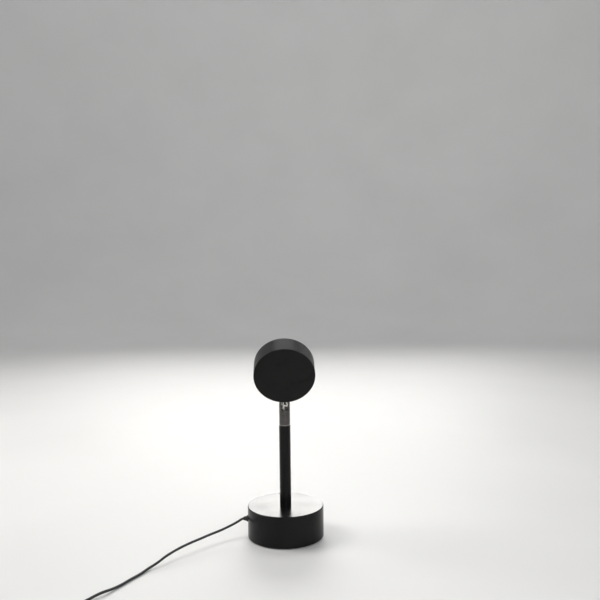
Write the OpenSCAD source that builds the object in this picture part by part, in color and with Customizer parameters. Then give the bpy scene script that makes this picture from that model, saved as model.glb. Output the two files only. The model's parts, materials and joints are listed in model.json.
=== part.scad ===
// Projection lamp: a weighted round base, a tube stem, a swivelling forked
// neck and a short drum head that throws a coloured disc of light.
// Millimetres, +Z up. Origin: centre of the base on the surface it stands on.
// The head faces +Y and the lead leaves the base towards -X.

/* [Base] */
// Diameter of the round base
base_d = 80; // [78:0.5:84]
// Height of the base with its foot pad
base_h = 33; // [32:0.5:40]
// Wall thickness of the base cover
base_wall = 2; // [1.8:0.1:2.4]
// Chamfer on the top edge of the base
base_chamfer = 0.7; // [0.3:0.1:1.2]
// Height of the lead's exit above the surface
lead_z = 18.4; // [18:0.1:19]

/* [Stem and neck] */
// Outside diameter of the stem tube
stem_d = 12; // [12:0.1:13]
// Height of the top end of the stem tube
stem_top = 117.2; // [110:0.1:117.2]
// Diameter of the neck above the stem
neck_d = 11.4; // [10.8:0.1:11.4]
// Height of the tilt pivot
hinge_z = 142; // [140:0.5:150]
// Width of the slot between the two ears of the neck
slot_w = 6.6; // [6.6:0.1:7]

/* [Head] */
// Diameter of the head
head_d = 63; // [62:0.5:66]
// Length of the head along its beam
head_len = 23.5; // [23.5:0.5:28]
// Wall thickness of the head's cover
head_wall = 1.6; // [1.4:0.1:1.8]
// Tilt of the beam above level
head_tilt = 23; // [0:1:60]
// Turn of the head to the left, seen from behind
head_yaw = 2; // [0:1:10]
// Gap between the tilt pivot and the head's side
hinge_gap = 7; // [7:0.1:8]

/* [Lead] */
// Diameter of the lead
cord_d = 2.5; // [2.4:0.1:2.5]
// Mean diameter of the stored coil of lead
coil_d = 30; // [28:1:32]

/* [Hidden] */

$fn = 96;
eps = 0.01;

// Base
base_r = base_d / 2;
base_ri = base_r - base_wall;
pad_h = 1.5;
plate_t = 1.6;
plate_top = pad_h + plate_t;
shell_z0 = 0.9;
top_t = 2;
boss_r = 3.3;
boss_pos = base_ri - 3;
boss_angles = [90, 210, 330];
weight_top = base_h - top_t;
weight_t = weight_top - 21.5;
weight_r = base_ri - 2;
clamp_x = -24;
clamp_y = 6;

// Stem
stem_r = stem_d / 2;
stem_ri = stem_r - 1;
nip_r = stem_ri;
nip_ri = nip_r - 1.8;
bush_flange = 0.8;
bush_len = 10;
spigot_r = 3.75;
neck_r = neck_d / 2;
neck_z0 = stem_top + bush_flange + 0.55;
slot_floor = hinge_z - 8.5;
pin_r = 1.5;
screw_seat = neck_r - 1.3;

// Head, in a frame with the tilt pivot at the origin and the beam along +Y
head_r = head_d / 2;
head_ri = head_r - head_wall;
axis_h = hinge_gap + head_r;
lug_w = slot_w - 1.2;
wire_y = -7.1;
lug_screw_a = 14.5;
lens_r = 27;
lens_edge = 3;
lens_sag = 6;
lens_R = (lens_r * lens_r + lens_sag * lens_sag) / (2 * lens_sag);
lens_s = head_len - 10.5;
plate_s = 4;
board_s = plate_s + 2.4;

// Lead
cord_r = cord_d / 2;
wire_r = 0.6;
sw_x = -114;
sw_y = -191;
sw_z = 6.2;
sw_len = 54;
sw_w = 18;
sw_h = 12.4;
coil_x = -46;
coil_y = -192;
coil_w = 8;
coil_h = 10.1;
plug_x = -6;
plug_y = -209.5;
plug_z = 3.8;

// The lead's route from inside the gland to the in-line switch
run_route = [[-38, 0, 18.4], [-41.5, 0, 18.4], [-44, 0, 18.4], [-46.5, -0.3, 17.8], [-50, -1.5, 16],
    [-56, -5, 13.7], [-62, -9, 12], [-68, -14, 10.9], [-74, -19.5, 10.3],
    [-79.5, -25, 9.9], [-85, -31, 9.5], [-90, -36.5, 9.2], [-95, -42, 8.9],
    [-100, -48, 8.5], [-105, -54, 7.8], [-110, -60.5, 6.9], [-115, -67.5, 5.7],
    [-119.5, -75, 4.2], [-124, -80.5, 2.7], [-128.3, -86, 1.7],
    [-132, -94, 1.3], [-136, -101.5, 1.3], [-140, -108.5, 1.3],
    [-143.5, -115.5, 1.3], [-147, -121.5, 1.4], [-151, -128, 2],
    [-155, -134, 2.8], [-158.8, -138.5, 2.8], [-162.8, -142.5, 2.1],
    [-167, -148, 1.5], [-171.5, -156, 1.3], [-174.5, -165, 1.3],
    [-174.5, -174, 1.3], [-170.5, -182, 1.5], [-164, -187.5, 2.6],
    [-157.5, -190.3, 4.8], [-152, -191, 6], [-148, -191, 6.2], [-142, -191, 6.2],
    [-125, -191, 6.2]];
// From the switch to the outside of the coil
link_route = [[-103, -191, 6.2], [-86, -191, 6.2], [-79.5, -191, 6.2], [-77, -191.3, 6],
    [-73, -192.6, 4.9], [-68, -196, 2.6], [-63.5, -200.6, 1.5],
    [-58, -205.6, 1.3], [-52, -208.8, 1.3], [-46, -209.6, 1.3]];
// From the top of the coil, over its outer turn, to the plug
tail_route = [[-54.15, -206.1, 10.94], [-50.2, -207.75, 10.94], [-46, -208.3, 11],
    [-42, -208.9, 11.3], [-38.5, -209.4, 10.85], [-35, -209.6, 9.7],
    [-31, -209.6, 8.1], [-27, -209.6, 6.4], [-23, -209.5, 5],
    [-18.5, -209.5, 4.1], [-13, -209.5, 3.8], [-4, -209.5, 3.8],
    [2, -209.5, 3.8]];
// Inside the base and the stem
inner_route = [[-37.9, 0, 18.4], [-35.5, 0, 18.4], [-32, 0, 18.8], [-28.5, 0, 19.9],
    [-24, 0, 20.15], [-20, 0, 19.9], [-16, 0, 17.4], [-12.6, 0, 12.8],
    [-8.8, 0, 8.6], [-4.6, 0, 7.3], [-1.3, 0, 9.2], [0, 0, 13], [0, 0, 18],
    [0, 0, 40], [0, 0, 70], [0, 0, 103]];
// The two wires across the tilt joint: their twisted part, and then each one's
// own way to the head. One swings to the right first.
pair_route = [[0, 0, 133.3], [-0.4, -0.3, 133.9], [-1, -1, 134.7], [-1.3, -1.9, 135.8],
    [-1.3, -3, 137], [-1.1, -4, 138.3], [-0.9, -4.9, 139.5]];
left_route = [[-1.5, -5.8, 140.8], [-1.3, -6.7, 142], [-1.1, -7.8, 143.4],
    [-0.8, -8.7, 144.5], [-0.7, -9.1, 145.3]];
right_route = [[0.8, -5.2, 139.4], [1.6, -5.5, 138.8], [2.3, -5.8, 138.8], [2.7, -6.3, 139.8],
    [2.6, -7.1, 141.3], [2, -7.8, 142.6], [1.2, -8.5, 143.9], [0.8, -8.9, 144.8],
    [0.7, -9.1, 145.3]];
// Inside the head, from the grommet to the board, in the head's frame
led_route = [[0, wire_y, 6.85], [0, wire_y, 9], [0, wire_y, 11], [0, -6.6, 12.8],
    [0, -5.3, 14.6], [0, -3.9, 17], [0, -2.9, 20], [0, -2.6, 24], [0, -2.7, 27.5],
    [0, -3, 29.5]];

function unit(v) = v / norm(v);
function catmull(a, b, c, d, t) = 0.5 * (2 * b + (c - a) * t
    + (2 * a - 5 * b + 4 * c - d) * t * t + (3 * b - a - 3 * c + d) * t * t * t);
function smooth_line(p, n) = [for (i = [0 : len(p) - 2]) for (k = [0 : n - 1])
    catmull(p[max(i - 1, 0)], p[i], p[i + 1], p[min(i + 2, len(p) - 1)], k / n),
    p[len(p) - 1]];
function tangent(p, i) = unit(p[min(i + 1, len(p) - 1)] - p[max(i - 1, 0)]);
// side: a vector that is never parallel to the line
function ring_point(p, i, side, r, a) =
    let (t = tangent(p, i), n = unit(cross(side, t)), b = cross(t, n))
    p[i] + r * cos(a) * n + r * sin(a) * b;

// A round tube swept along a line of points
module sweep(p, r, side = [0, 0, 1], sides = 8) {
    m = len(p);
    polyhedron(
        points = [for (i = [0 : m - 1]) for (k = [0 : sides - 1])
            ring_point(p, i, side, r, 360 * (k + 0.5) / sides)],
        faces = concat(
            [[for (k = [0 : sides - 1]) k]],
            [for (i = [0 : m - 2]) for (k = [0 : sides - 1])
                [i * sides + k, (i + 1) * sides + k, (i + 1) * sides + (k + 1) % sides]],
            [for (i = [0 : m - 2]) for (k = [0 : sides - 1])
                [i * sides + k, (i + 1) * sides + (k + 1) % sides, i * sides + (k + 1) % sides]],
            [[for (k = [sides - 1 : -1 : 0]) (m - 1) * sides + k]]));
}

// A line that winds round another one: one wire of a twisted pair
function wound(p, side, r, a0, turns) = [for (i = [0 : len(p) - 1])
    ring_point(p, i, side, r, a0 + 360 * turns * i / (len(p) - 1))];

module washer(ro, ri, h) {
    difference() {
        cylinder(r = ro, h = h);
        translate([0, 0, -1]) cylinder(r = ri, h = h + 2);
    }
}

// A rectangle with round corners, made of straight and round pieces
module rounded(w, d, r) {
    square([w - 2 * r, d], center = true);
    square([w, d - 2 * r], center = true);
    for (x = [-1, 1]) for (y = [-1, 1])
        translate([x * (w / 2 - r), y * (d / 2 - r)]) circle(r = r);
}

// The neck and the head turn together about the stem
module neck_frame() { rotate([0, 0, head_yaw]) children(); }
// The head tilts about the pivot
module head_frame() {
    neck_frame() translate([0, 0, hinge_z]) rotate([head_tilt, 0, 0]) children();
}
// Along the beam from the outside of the head's back; +Y here points to the pivot
module beam_frame() {
    head_frame() translate([0, -head_len / 2, axis_h]) rotate([-90, 0, 0]) children();
}
module along_x() { rotate([0, 90, 0]) children(); }
module switch_frame() { translate([sw_x, sw_y, 0]) children(); }
module plug_frame() { translate([plug_x, plug_y, plug_z]) children(); }

// ---------------------------------------------------------------- base

module foot_pad() color("#222224") cylinder(r = base_ri - 1.4, h = pad_h);

module base_plate() color("#8d9094") difference() {
    translate([0, 0, pad_h]) cylinder(r = base_ri - 0.2, h = plate_t);
    for (a = boss_angles) rotate([0, 0, a]) translate([boss_pos, 0, 0]) {
        cylinder(r = 1.6, h = 6);
        translate([0, 0, pad_h - eps]) cylinder(r1 = 2.9, r2 = 1.6, h = 1.3);
    }
}

module base_screws() color("#b9bcc0")
    for (a = boss_angles) rotate([0, 0, a]) translate([boss_pos, 0, 0]) {
        difference() {
            union() {
                translate([0, 0, pad_h + 0.05]) cylinder(r1 = 2.75, r2 = 1.25, h = 1.25);
                translate([0, 0, pad_h + 0.1]) cylinder(r = 1.23, h = 10);
            }
            translate([0, 0, pad_h - 0.5]) cylinder(r = 1.1, h = 1.1, $fn = 6);
        }
    }

module base_shell() color("#1c1b1d") difference() {
    union() {
        rotate_extrude() polygon([[base_ri, shell_z0], [base_r - 0.3, shell_z0],
            [base_r, shell_z0 + 0.3], [base_r, base_h - base_chamfer],
            [base_r - base_chamfer, base_h], [0, base_h], [0, weight_top],
            [base_ri, weight_top]]);
        for (a = boss_angles) rotate([0, 0, a]) translate([boss_pos, 0, plate_top])
            cylinder(r = boss_r, h = weight_top - plate_top + 0.5);
    }
    translate([0, 0, weight_top - 1]) cylinder(r = nip_r + 0.1, h = 4);
    translate([-base_r + 4, 0, lead_z]) rotate([0, -90, 0]) cylinder(r = 2.6, h = 8);
    for (a = boss_angles) rotate([0, 0, a]) translate([boss_pos, 0, plate_top - 1])
        cylinder(r = 1.25, h = 13);
}

module base_weight() color("#55565a") difference() {
    translate([0, 0, weight_top - weight_t]) cylinder(r = weight_r, h = weight_t);
    translate([0, 0, 10]) cylinder(r = nip_r + 0.4, h = 40);
    for (a = boss_angles) rotate([0, 0, a]) translate([boss_pos, 0, 10])
        cylinder(r = boss_r + 0.4, h = 40);
    for (y = [-1, 1]) translate([clamp_x, y * clamp_y, 20]) cylinder(r = 1.25, h = 7);
}

module cable_gland() color("#141414")
    translate([-base_r, 0, lead_z]) rotate([0, -90, 0]) difference() {
        union() {
            translate([0, 0, -base_wall - 1.5]) cylinder(r = 3.4, h = 1.2);
            translate([0, 0, -base_wall - 0.3]) cylinder(r = 2.55, h = base_wall + 0.4);
            cylinder(r1 = 3.4, r2 = 3.1, h = 1.3);
            translate([0, 0, 1.2]) cylinder(r1 = 2.5, r2 = 1.75, h = 3.6);
        }
        translate([0, 0, -5]) cylinder(r = cord_r + 0.05, h = 12);
        translate([0, 0, 3.3]) cylinder(r1 = cord_r + 0.05, r2 = cord_r + 0.35, h = 2);
    }

module cable_clamp() color("#2a2a2c") difference() {
    translate([clamp_x - 3, -9, 17.4]) cube([6, 18, 4]);
    translate([clamp_x - 5, 0, 20.15]) along_x() cylinder(r = 1.3, h = 10);
    translate([clamp_x - 5, -1.3, 20.15]) cube([10, 2.6, 3]);
    for (y = [-1, 1]) translate([clamp_x, y * clamp_y, 15]) cylinder(r = 1.6, h = 10);
}

module clamp_screws() color("#b9bcc0")
    for (y = [-1, 1]) translate([clamp_x, y * clamp_y, 0]) difference() {
        union() {
            translate([0, 0, 15.6]) cylinder(r1 = 2.3, r2 = 2.75, h = 1.75);
            translate([0, 0, 17.3]) cylinder(r = 1.22, h = 8.9);
        }
        translate([-3, -0.3, 15]) cube([6, 0.6, 1.3]);
    }

module stem_nipple() color("#c9a86a") difference() {
    translate([0, 0, 14]) cylinder(r = nip_r - 0.02, h = 31);
    translate([0, 0, 13]) cylinder(r = nip_ri, h = 33);
}

module stem_washer() color("#b9bcc0") translate([0, 0, 20.3]) washer(11, nip_r + 0.2, 1.2);

module lock_washer() color("#9a9da1") translate([0, 0, 19.5]) difference() {
    washer(8.6, nip_r + 0.2, 0.8);
    for (a = [0 : 24 : 336]) rotate([0, 0, a]) translate([8, 0, -1]) cylinder(r = 0.45, h = 3);
}

module stem_nut() color("#b9bcc0") translate([0, 0, 15.5]) difference() {
    cylinder(r = 8.08, h = 4, $fn = 6);
    translate([0, 0, -1]) cylinder(r = nip_r, h = 6);
}

// ---------------------------------------------------------------- stem

module stem_tube() color("#1c1b1d") translate([0, 0, base_h])
    rotate_extrude() polygon([[stem_ri, 0], [stem_r, 0], [stem_r, stem_top - base_h - 0.2],
        [stem_r - 0.2, stem_top - base_h], [stem_ri, stem_top - base_h]]);

module top_bush() color("#3a3a3d") translate([0, 0, stem_top]) rotate_extrude()
    polygon([[spigot_r + 0.05, -bush_len], [stem_ri, -bush_len], [stem_ri, 0], [stem_r - 0.15, 0],
        [stem_r - 0.15, bush_flange - 0.2], [stem_r - 0.35, bush_flange],
        [spigot_r + 0.05, bush_flange]]);

module inner_lead() color("#17171a")
    sweep(smooth_line(inner_route, 2), cord_r - 0.02, side = [0, 1, 0]);

// ---------------------------------------------------------------- neck

module thrust_washer() color("#e6e3da") neck_frame()
    translate([0, 0, stem_top + bush_flange + 0.05]) washer(neck_r - 0.6, spigot_r + 0.1, 0.5);

module neck_fork() color("#3b3634") neck_frame() difference() {
    union() {
        intersection() {
            translate([0, 0, neck_z0]) cylinder(r = neck_r, h = 40);
            union() {
                translate([-10, -10, neck_z0]) cube([20, 20, hinge_z - neck_z0]);
                translate([-10, 0, hinge_z]) along_x() cylinder(r = neck_r, h = 20);
            }
        }
        translate([0, 0, stem_top - bush_len - 3.8]) cylinder(r = spigot_r, h = bush_len + 3.8 + 2);
    }
    // slot for the head's lug, open to the front, the back and the top
    translate([-slot_w / 2, -10, hinge_z - 3.9]) cube([slot_w, 20, 30]);
    // pocket for the wires below it, open to the back only
    translate([-slot_w / 2, -10, slot_floor]) cube([slot_w, 13.3, 20]);
    // wire bore
    translate([0, 0, 90]) cylinder(r = 2, h = 60);
    // pivot hole, threaded in the left ear, with a sunk seat for the screw's
    // head in the right one
    translate([-10, 0, hinge_z]) along_x() cylinder(r = pin_r + 0.05, h = 20);
    translate([screw_seat, 0, hinge_z]) along_x() cylinder(r = 2.85, h = 6);
    // clip groove
    translate([0, 0, stem_top - bush_len - 1.9]) washer(6, 3.1, 1);
}

module wave_washer() color("#b9bcc0") neck_frame()
    translate([0, 0, stem_top - bush_len - 0.75]) washer(4.6, spigot_r + 0.1, 0.6);

module retaining_clip() color("#8d9094") neck_frame()
    translate([0, 0, stem_top - bush_len - 1.75]) difference() {
        washer(4.7, 3.15, 0.8);
        translate([0, -2.2, -1]) cube([6, 4.4, 3]);
    }

module neck_lead() color("#17171a") neck_frame()
    translate([0, 0, 103.3]) cylinder(r = cord_r, h = slot_floor - 103.3 - 0.9);

module pivot_screw() color("#6b6c70") neck_frame() translate([0, 0, hinge_z]) along_x()
    difference() {
        union() {
            translate([0, 0, screw_seat]) cylinder(r1 = 2.65, r2 = 2.45, h = 1.2);
            translate([0, 0, -neck_r + 0.4]) cylinder(r = pin_r, h = neck_r + screw_seat);
        }
        translate([0, 0, screw_seat + 0.4]) cylinder(r = 1.15, h = 2, $fn = 6);
    }

module friction_washers() color("#d8d2c0") neck_frame() translate([0, 0, hinge_z])
    for (s = [-1, 1]) translate([s * (lug_w / 2 + 0.3) - 0.25, 0, 0]) along_x()
        washer(3.4, pin_r + 0.1, 0.5);

module hinge_wires() color("#d9d4c6") neck_frame() {
    pair = smooth_line(pair_route, 2);
    sweep(concat(wound(pair, [1, 0, 0], wire_r + 0.06, 270, 1), left_route), wire_r,
        side = [1, 0, 0]);
    sweep(concat(wound(pair, [1, 0, 0], wire_r + 0.06, 90, 1), right_route), wire_r,
        side = [0, 1, 0]);
}

// ---------------------------------------------------------------- head

module head_lug() color("#2a2a2c") head_frame() difference() {
    union() {
        translate([-lug_w / 2, 0, 0]) along_x() cylinder(r = 3.6, h = lug_w);
        translate([-lug_w / 2, -3.6, 0]) cube([lug_w, 7.2, axis_h - head_ri + 1.4]);
        intersection() {
            translate([0, 4, axis_h]) rotate([90, 0, 0]) difference() {
                cylinder(r = head_ri, h = 8);
                translate([0, 0, -1]) cylinder(r = head_ri - 2, h = 10);
            }
            translate([-11, -5, 5]) cube([22, 10, 12]);
        }
    }
    translate([-10, 0, 0]) along_x() cylinder(r = pin_r + 0.05, h = 20);
    for (s = [-1, 1]) translate([0, 0, axis_h]) rotate([0, s * lug_screw_a, 0])
        translate([0, 0, -head_r]) cylinder(r = 1.05, h = 6);
}

module lug_screws() color("#6b6c70") head_frame()
    for (s = [-1, 1]) translate([0, 0, axis_h]) rotate([0, s * lug_screw_a, 0])
        translate([0, 0, -head_r]) difference() {
            union() {
                translate([0, 0, 0.15]) cylinder(r1 = 2.2, r2 = 1.02, h = 1.15);
                translate([0, 0, 0.3]) cylinder(r = 1.02, h = 3.7);
            }
            translate([0, 0, -0.5]) cylinder(r = 0.85, h = 1.3, $fn = 6);
        }

module head_shell() color("#1c1b1d") difference() {
    beam_frame() {
        rotate_extrude() polygon([[0, 0], [head_r - 0.5, 0], [head_r, 0.5],
            [head_r, head_len - 0.4], [head_r - 0.4, head_len], [head_ri, head_len],
            [head_ri, 2], [0, 2]]);
        // three screw bosses inside the back
        for (a = [30, 150, 270]) rotate([0, 0, a]) translate([22, 0, 1.5])
            cylinder(r = 3, h = plate_s - 1.5);
    }
    beam_frame() for (a = [30, 150, 270]) rotate([0, 0, a]) translate([22, 0, 1])
        cylinder(r = 1, h = 5);
    head_frame() {
        translate([-lug_w / 2 - 0.15, -3.75, 4]) cube([lug_w + 0.3, 7.5, 8]);
        translate([0, wire_y, 4]) cylinder(r = 2.1, h = 8);
        for (s = [-1, 1]) translate([0, 0, axis_h]) rotate([0, s * lug_screw_a, 0])
            translate([0, 0, -head_r - 1]) {
                cylinder(r = 1.3, h = 6);
                translate([0, 0, 0.6]) cylinder(r1 = 2.8, r2 = 1.3, h = 1.6);
            }
    }
}

module head_grommet() color("#141414") head_frame() translate([0, wire_y, 0]) difference() {
    union() {
        translate([0, 0, hinge_gap - 0.75]) cylinder(r1 = 2.6, r2 = 3, h = 0.7);
        translate([0, 0, hinge_gap - 0.4]) cylinder(r = 2.05, h = head_wall + 1);
        translate([0, 0, hinge_gap + head_wall + 0.2]) cylinder(r = 2.5, h = 0.8);
    }
    translate([0, 0, 2]) cylinder(r = 1.45, h = 12);
}

module mounting_plate() color("#c4c7ca") difference() {
    beam_frame() difference() {
        translate([0, 0, plate_s]) cylinder(r = head_ri - 1.4, h = 2);
        for (a = [30, 150, 270]) rotate([0, 0, a]) translate([22, 0, 0]) cylinder(r = 1.3, h = 9);
        for (a = [0, 180]) rotate([0, 0, a]) translate([7.6, 0, 0]) cylinder(r = 0.8, h = 9);
    }
    head_frame() translate([-3.4, -14, 5]) cube([6.8, 14, 11.5]);
}

module plate_screws() color("#b9bcc0") beam_frame()
    for (a = [30, 150, 270]) rotate([0, 0, a]) translate([22, 0, 0]) difference() {
        union() {
            translate([0, 0, plate_s + 2]) cylinder(r1 = 2.2, r2 = 1.9, h = 1.3);
            translate([0, 0, 1.4]) cylinder(r = 0.98, h = plate_s + 1);
        }
        translate([-0.25, -3, plate_s + 2.8]) cube([0.5, 6, 2]);
        translate([-3, -0.25, plate_s + 2.8]) cube([6, 0.5, 2]);
    }

module thermal_pad() color("#cfd3c4") beam_frame() translate([0, 0, plate_s + 2]) difference() {
    cylinder(r = 10, h = 0.4);
    for (a = [0, 180]) rotate([0, 0, a]) translate([7.6, 0, -1]) cylinder(r = 1.1, h = 3);
}

module led_board() color("#e9e9e4") beam_frame() translate([0, 0, board_s]) difference() {
    cylinder(r = 10, h = 1.6);
    for (a = [0, 180]) rotate([0, 0, a]) translate([7.6, 0, -1]) cylinder(r = 1.1, h = 4);
}

module board_screws() color("#b9bcc0") beam_frame()
    for (a = [0, 180]) rotate([0, 0, a]) translate([7.6, 0, 0]) difference() {
        union() {
            translate([0, 0, board_s + 1.6]) cylinder(r1 = 1.8, r2 = 1.6, h = 1);
            translate([0, 0, plate_s + 0.1]) cylinder(r = 0.78, h = 4);
        }
        translate([-3, -0.2, board_s + 2.1]) cube([6, 0.4, 2]);
    }

module led_emitter() color("#e8c23a") beam_frame() translate([0, 0, board_s + 1.6]) {
    cylinder(r = 4, h = 0.6);
    intersection() {
        translate([0, 0, -2.4]) sphere(r = 4);
        translate([0, 0, 0.3]) cylinder(r = 3.2, h = 4);
    }
}

module led_leads() color("#d9d4c6") head_frame() {
    line = smooth_line(led_route, 1);
    for (s = [-1, 1])
        sweep([for (q = line) q + [s * (wire_r + 0.08), 0, 0]], wire_r, side = [1, 0, 0]);
}

// Black cone between the light source and the lens, which it also carries
module light_tube() color("#18181a") difference() {
    beam_frame() rotate_extrude() polygon([[head_ri - 0.3, plate_s + 2.05],
        [head_ri - 0.3, lens_s + 5.05], [lens_r + 0.3, lens_s + 5.05], [lens_r + 0.3, lens_s],
        [24.5, lens_s], [24.5, lens_s - 1.4], [22.5, lens_s - 1.4], [11, board_s + 3],
        [11.6, board_s + 1.7], [23, lens_s - 3], [head_ri - 1.8, lens_s - 3],
        [head_ri - 1.8, plate_s + 2.05]]);
    // room for the lug's plate and the wires
    head_frame() intersection() {
        translate([-11.6, -head_len / 2, hinge_gap]) cube([23.2, head_len / 2 + 4.4, 10]);
        translate([0, 10, axis_h]) rotate([90, 0, 0]) washer(head_r, lens_r + 0.35, 30);
    }
    head_frame() translate([-2, -10, hinge_gap + 3]) cube([4, 8.6, 24]);
}

module filter_disc() color("#f08020", 0.7) beam_frame()
    translate([0, 0, lens_s - 1.4]) cylinder(r = 24.3, h = 0.8);

module filter_ring() color("#2a2a2c") beam_frame()
    translate([0, 0, lens_s - 0.6]) washer(24.4, 23, 0.6);

module projection_lens() color("#dfe9ee", 0.5) beam_frame() translate([0, 0, lens_s])
    intersection() {
        cylinder(r = lens_r, h = lens_edge + lens_sag + 1);
        translate([0, 0, lens_edge + lens_sag - lens_R]) sphere(r = lens_R, $fn = 192);
    }

module lens_gasket() color("#141414") beam_frame() translate([0, 0, lens_s + 4.25])
    rotate_extrude() translate([26.2, 0]) circle(r = 0.79, $fn = 32);

module lens_bezel() color("#1c1b1d") beam_frame() difference() {
    rotate_extrude() polygon([[head_ri - 0.05, lens_s + 5.05], [head_ri - 0.05, head_len - 0.3],
        [head_ri - 0.45, head_len - 0.1], [27.5, head_len - 0.1], [25.3, head_len - 2.6],
        [25.3, lens_s + 5.05]]);
    // two spanner notches
    for (a = [0, 180]) rotate([0, 0, a]) translate([25, -1.2, head_len - 1.5]) cube([3.2, 2.4, 3]);
}

// ---------------------------------------------------------------- lead and switch

module cord_run() color("#17171a") sweep(smooth_line(run_route, 2), cord_r);

module sw_outline(inset) { rounded(sw_len - 2 * inset, sw_w - 2 * inset, 6 - inset); }

module switch_case_bottom() color("#19191b") switch_frame() difference() {
    union() {
        difference() {
            linear_extrude(height = sw_z) sw_outline(0);
            translate([0, 0, 1.5]) linear_extrude(height = 8) sw_outline(1.5);
        }
        for (s = [-1, 1]) translate([s * 17, s * 5, 1]) cylinder(r = 2.2, h = 5.1);
        for (s = [-1, 1]) translate([s * 10.2 - 0.8, -6, 1]) cube([1.6, 12, 3.2]);
    }
    for (s = [-1, 1]) translate([s * 17, s * 5, -1]) {
        cylinder(r = 1.1, h = 8);
        translate([0, 0, 0.95]) cylinder(r1 = 2.2, r2 = 1.1, h = 1.3);
    }
    translate([-40, 0, sw_z]) along_x() cylinder(r = 2.4, h = 80);
}

module switch_case_top() color("#19191b") switch_frame() difference() {
    union() {
        difference() {
            union() {
                translate([0, 0, sw_z]) linear_extrude(height = sw_h - sw_z - 0.8) sw_outline(0);
                translate([0, 0, sw_h - 1]) linear_extrude(height = 1) sw_outline(0.8);
            }
            translate([0, 0, sw_z - 1]) linear_extrude(height = sw_h - sw_z - 0.4) sw_outline(1.5);
        }
        // raised collar round the button
        translate([0, 0, sw_h - 1]) cylinder(r = 7, h = 1.5);
        for (s = [-1, 1]) translate([s * 17, s * 5, sw_z + 0.1]) cylinder(r = 2.2, h = sw_h - sw_z - 0.6);
    }
    translate([0, 0, 8]) cylinder(r = 5.2, h = 8);
    for (s = [-1, 1]) translate([s * 17, s * 5, 5]) cylinder(r = 0.9, h = 5.6);
    translate([-40, 0, sw_z]) along_x() cylinder(r = 2.4, h = 80);
}

module switch_button() color("#2c2c2f") switch_frame() {
    translate([0, 0, 9.9]) cylinder(r = 6.1, h = 1.05);
    translate([0, 0, 10.4]) cylinder(r = 5, h = 3.6);
    translate([0, 0, 14]) cylinder(r1 = 5, r2 = 4.4, h = 0.5);
    translate([0, 0, 6.2]) cylinder(r = 1.4, h = 4);
}

module switch_unit() color("#4a4a4e") switch_frame() difference() {
    translate([-4.2, -4.2, 1.5]) cube([8.4, 8.4, 5]);
    translate([0, 0, 4.4]) cylinder(r = 1.6, h = 4);
}

module switch_spring() color("#c4c7ca") switch_frame() {
    n = 14;
    turns = 3;
    line = [for (i = [0 : n * turns]) [2.4 * cos(360 * i / n), 2.4 * sin(360 * i / n),
        6.75 + 2.9 * i / (n * turns)]];
    sweep(line, 0.2, sides = 6);
}

module switch_screws() color("#b9bcc0") switch_frame()
    for (s = [-1, 1]) translate([s * 17, s * 5, 0]) difference() {
        union() {
            translate([0, 0, 0.15]) cylinder(r1 = 2, r2 = 0.88, h = 1.15);
            translate([0, 0, 0.3]) cylinder(r = 0.88, h = 9.5);
        }
        translate([-0.2, -3, -1]) cube([0.4, 6, 1.6]);
        translate([-3, -0.2, -1]) cube([6, 0.4, 1.6]);
    }

module switch_boots() color("#141414") switch_frame() for (s = [-1, 1])
    translate([s * (sw_len / 2 - 2.7), 0, sw_z]) rotate([0, s * 90, 0]) difference() {
        union() {
            cylinder(r = 3.2, h = 1.1);
            translate([0, 0, 0.5]) cylinder(r = 2.35, h = 2.4);
            translate([0, 0, 2.75]) cylinder(r = 3.2, h = 1);
            translate([0, 0, 3.5]) cylinder(r1 = 2.7, r2 = 1.8, h = 7);
            for (k = [0 : 2]) translate([0, 0, 4.6 + 1.9 * k]) cylinder(r = 2.75 - 0.2 * k, h = 0.8);
        }
        translate([0, 0, -2]) cylinder(r = cord_r + 0.05, h = 16);
    }

module cord_link() color("#17171a") sweep(smooth_line(link_route, 2), cord_r);

module cord_coil() color("#17171a") translate([coil_x, coil_y, 0]) rotate_extrude()
    translate([coil_d / 2, coil_h / 2]) rounded(coil_w, coil_h, 1.3);

module cord_tie() color("#0f0f10") translate([coil_x + coil_d / 2, coil_y, coil_h / 2 + 0.55])
    rotate([90, 0, 0]) {
        translate([0, 0, -2.2]) linear_extrude(height = 4.4) difference() {
            rounded(coil_w + 1.2, coil_h + 1.1, 1.9);
            rounded(coil_w - 0.1, coil_h - 0.1, 1.3);
        }
        translate([coil_w / 2 - 0.2, coil_h / 2 - 1.6, 0]) along_x() cylinder(r = 0.9, h = 9.5);
    }

module cord_tail() color("#17171a") sweep(smooth_line(tail_route, 2), cord_r);

// ---------------------------------------------------------------- plug

module plug_grip() color("#19191b") plug_frame() difference() {
    union() {
        along_x() rotate([0, 0, 90]) linear_extrude(height = 24) rounded(15.6, 7.6, 2.2);
        translate([-8, 0, 0]) along_x() cylinder(r1 = 1.9, r2 = 3.2, h = 8.5);
        for (k = [0 : 2]) translate([-6.6 + 2.2 * k, 0, 0]) along_x()
            cylinder(r = 2.6 + 0.4 * k, h = 1.1);
    }
    translate([18, -6.1, -2.35]) cube([10, 12.2, 4.7]);
    translate([-10, 0, 0]) along_x() cylinder(r = cord_r + 0.05, h = 18.5);
}

module plug_shell() color("#c9ccd0") plug_frame() difference() {
    translate([18.1, 0, 0]) along_x() rotate([0, 0, 90]) linear_extrude(height = 24.6) difference() {
        rounded(12, 4.5, 0.6);
        rounded(11.4, 3.9, 0.35);
    }
    for (y = [-3.1, 3.1]) translate([30, y - 1.1, -4]) cube([2.6, 2.2, 8]);
}

module plug_tongue() color("#e8e6e0") plug_frame()
    translate([18.2, -5.45, -1.85]) cube([23.4, 10.9, 1.8]);

module plug_contacts() color("#d8b35a") plug_frame()
    for (y = [-3.5, -1, 1, 3.5]) translate([31 - (abs(y) > 2 ? 0 : -1.2), y - 0.5, -0.05])
        cube([9 - (abs(y) > 2 ? 0 : 1.2), 1, 0.2]);

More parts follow.
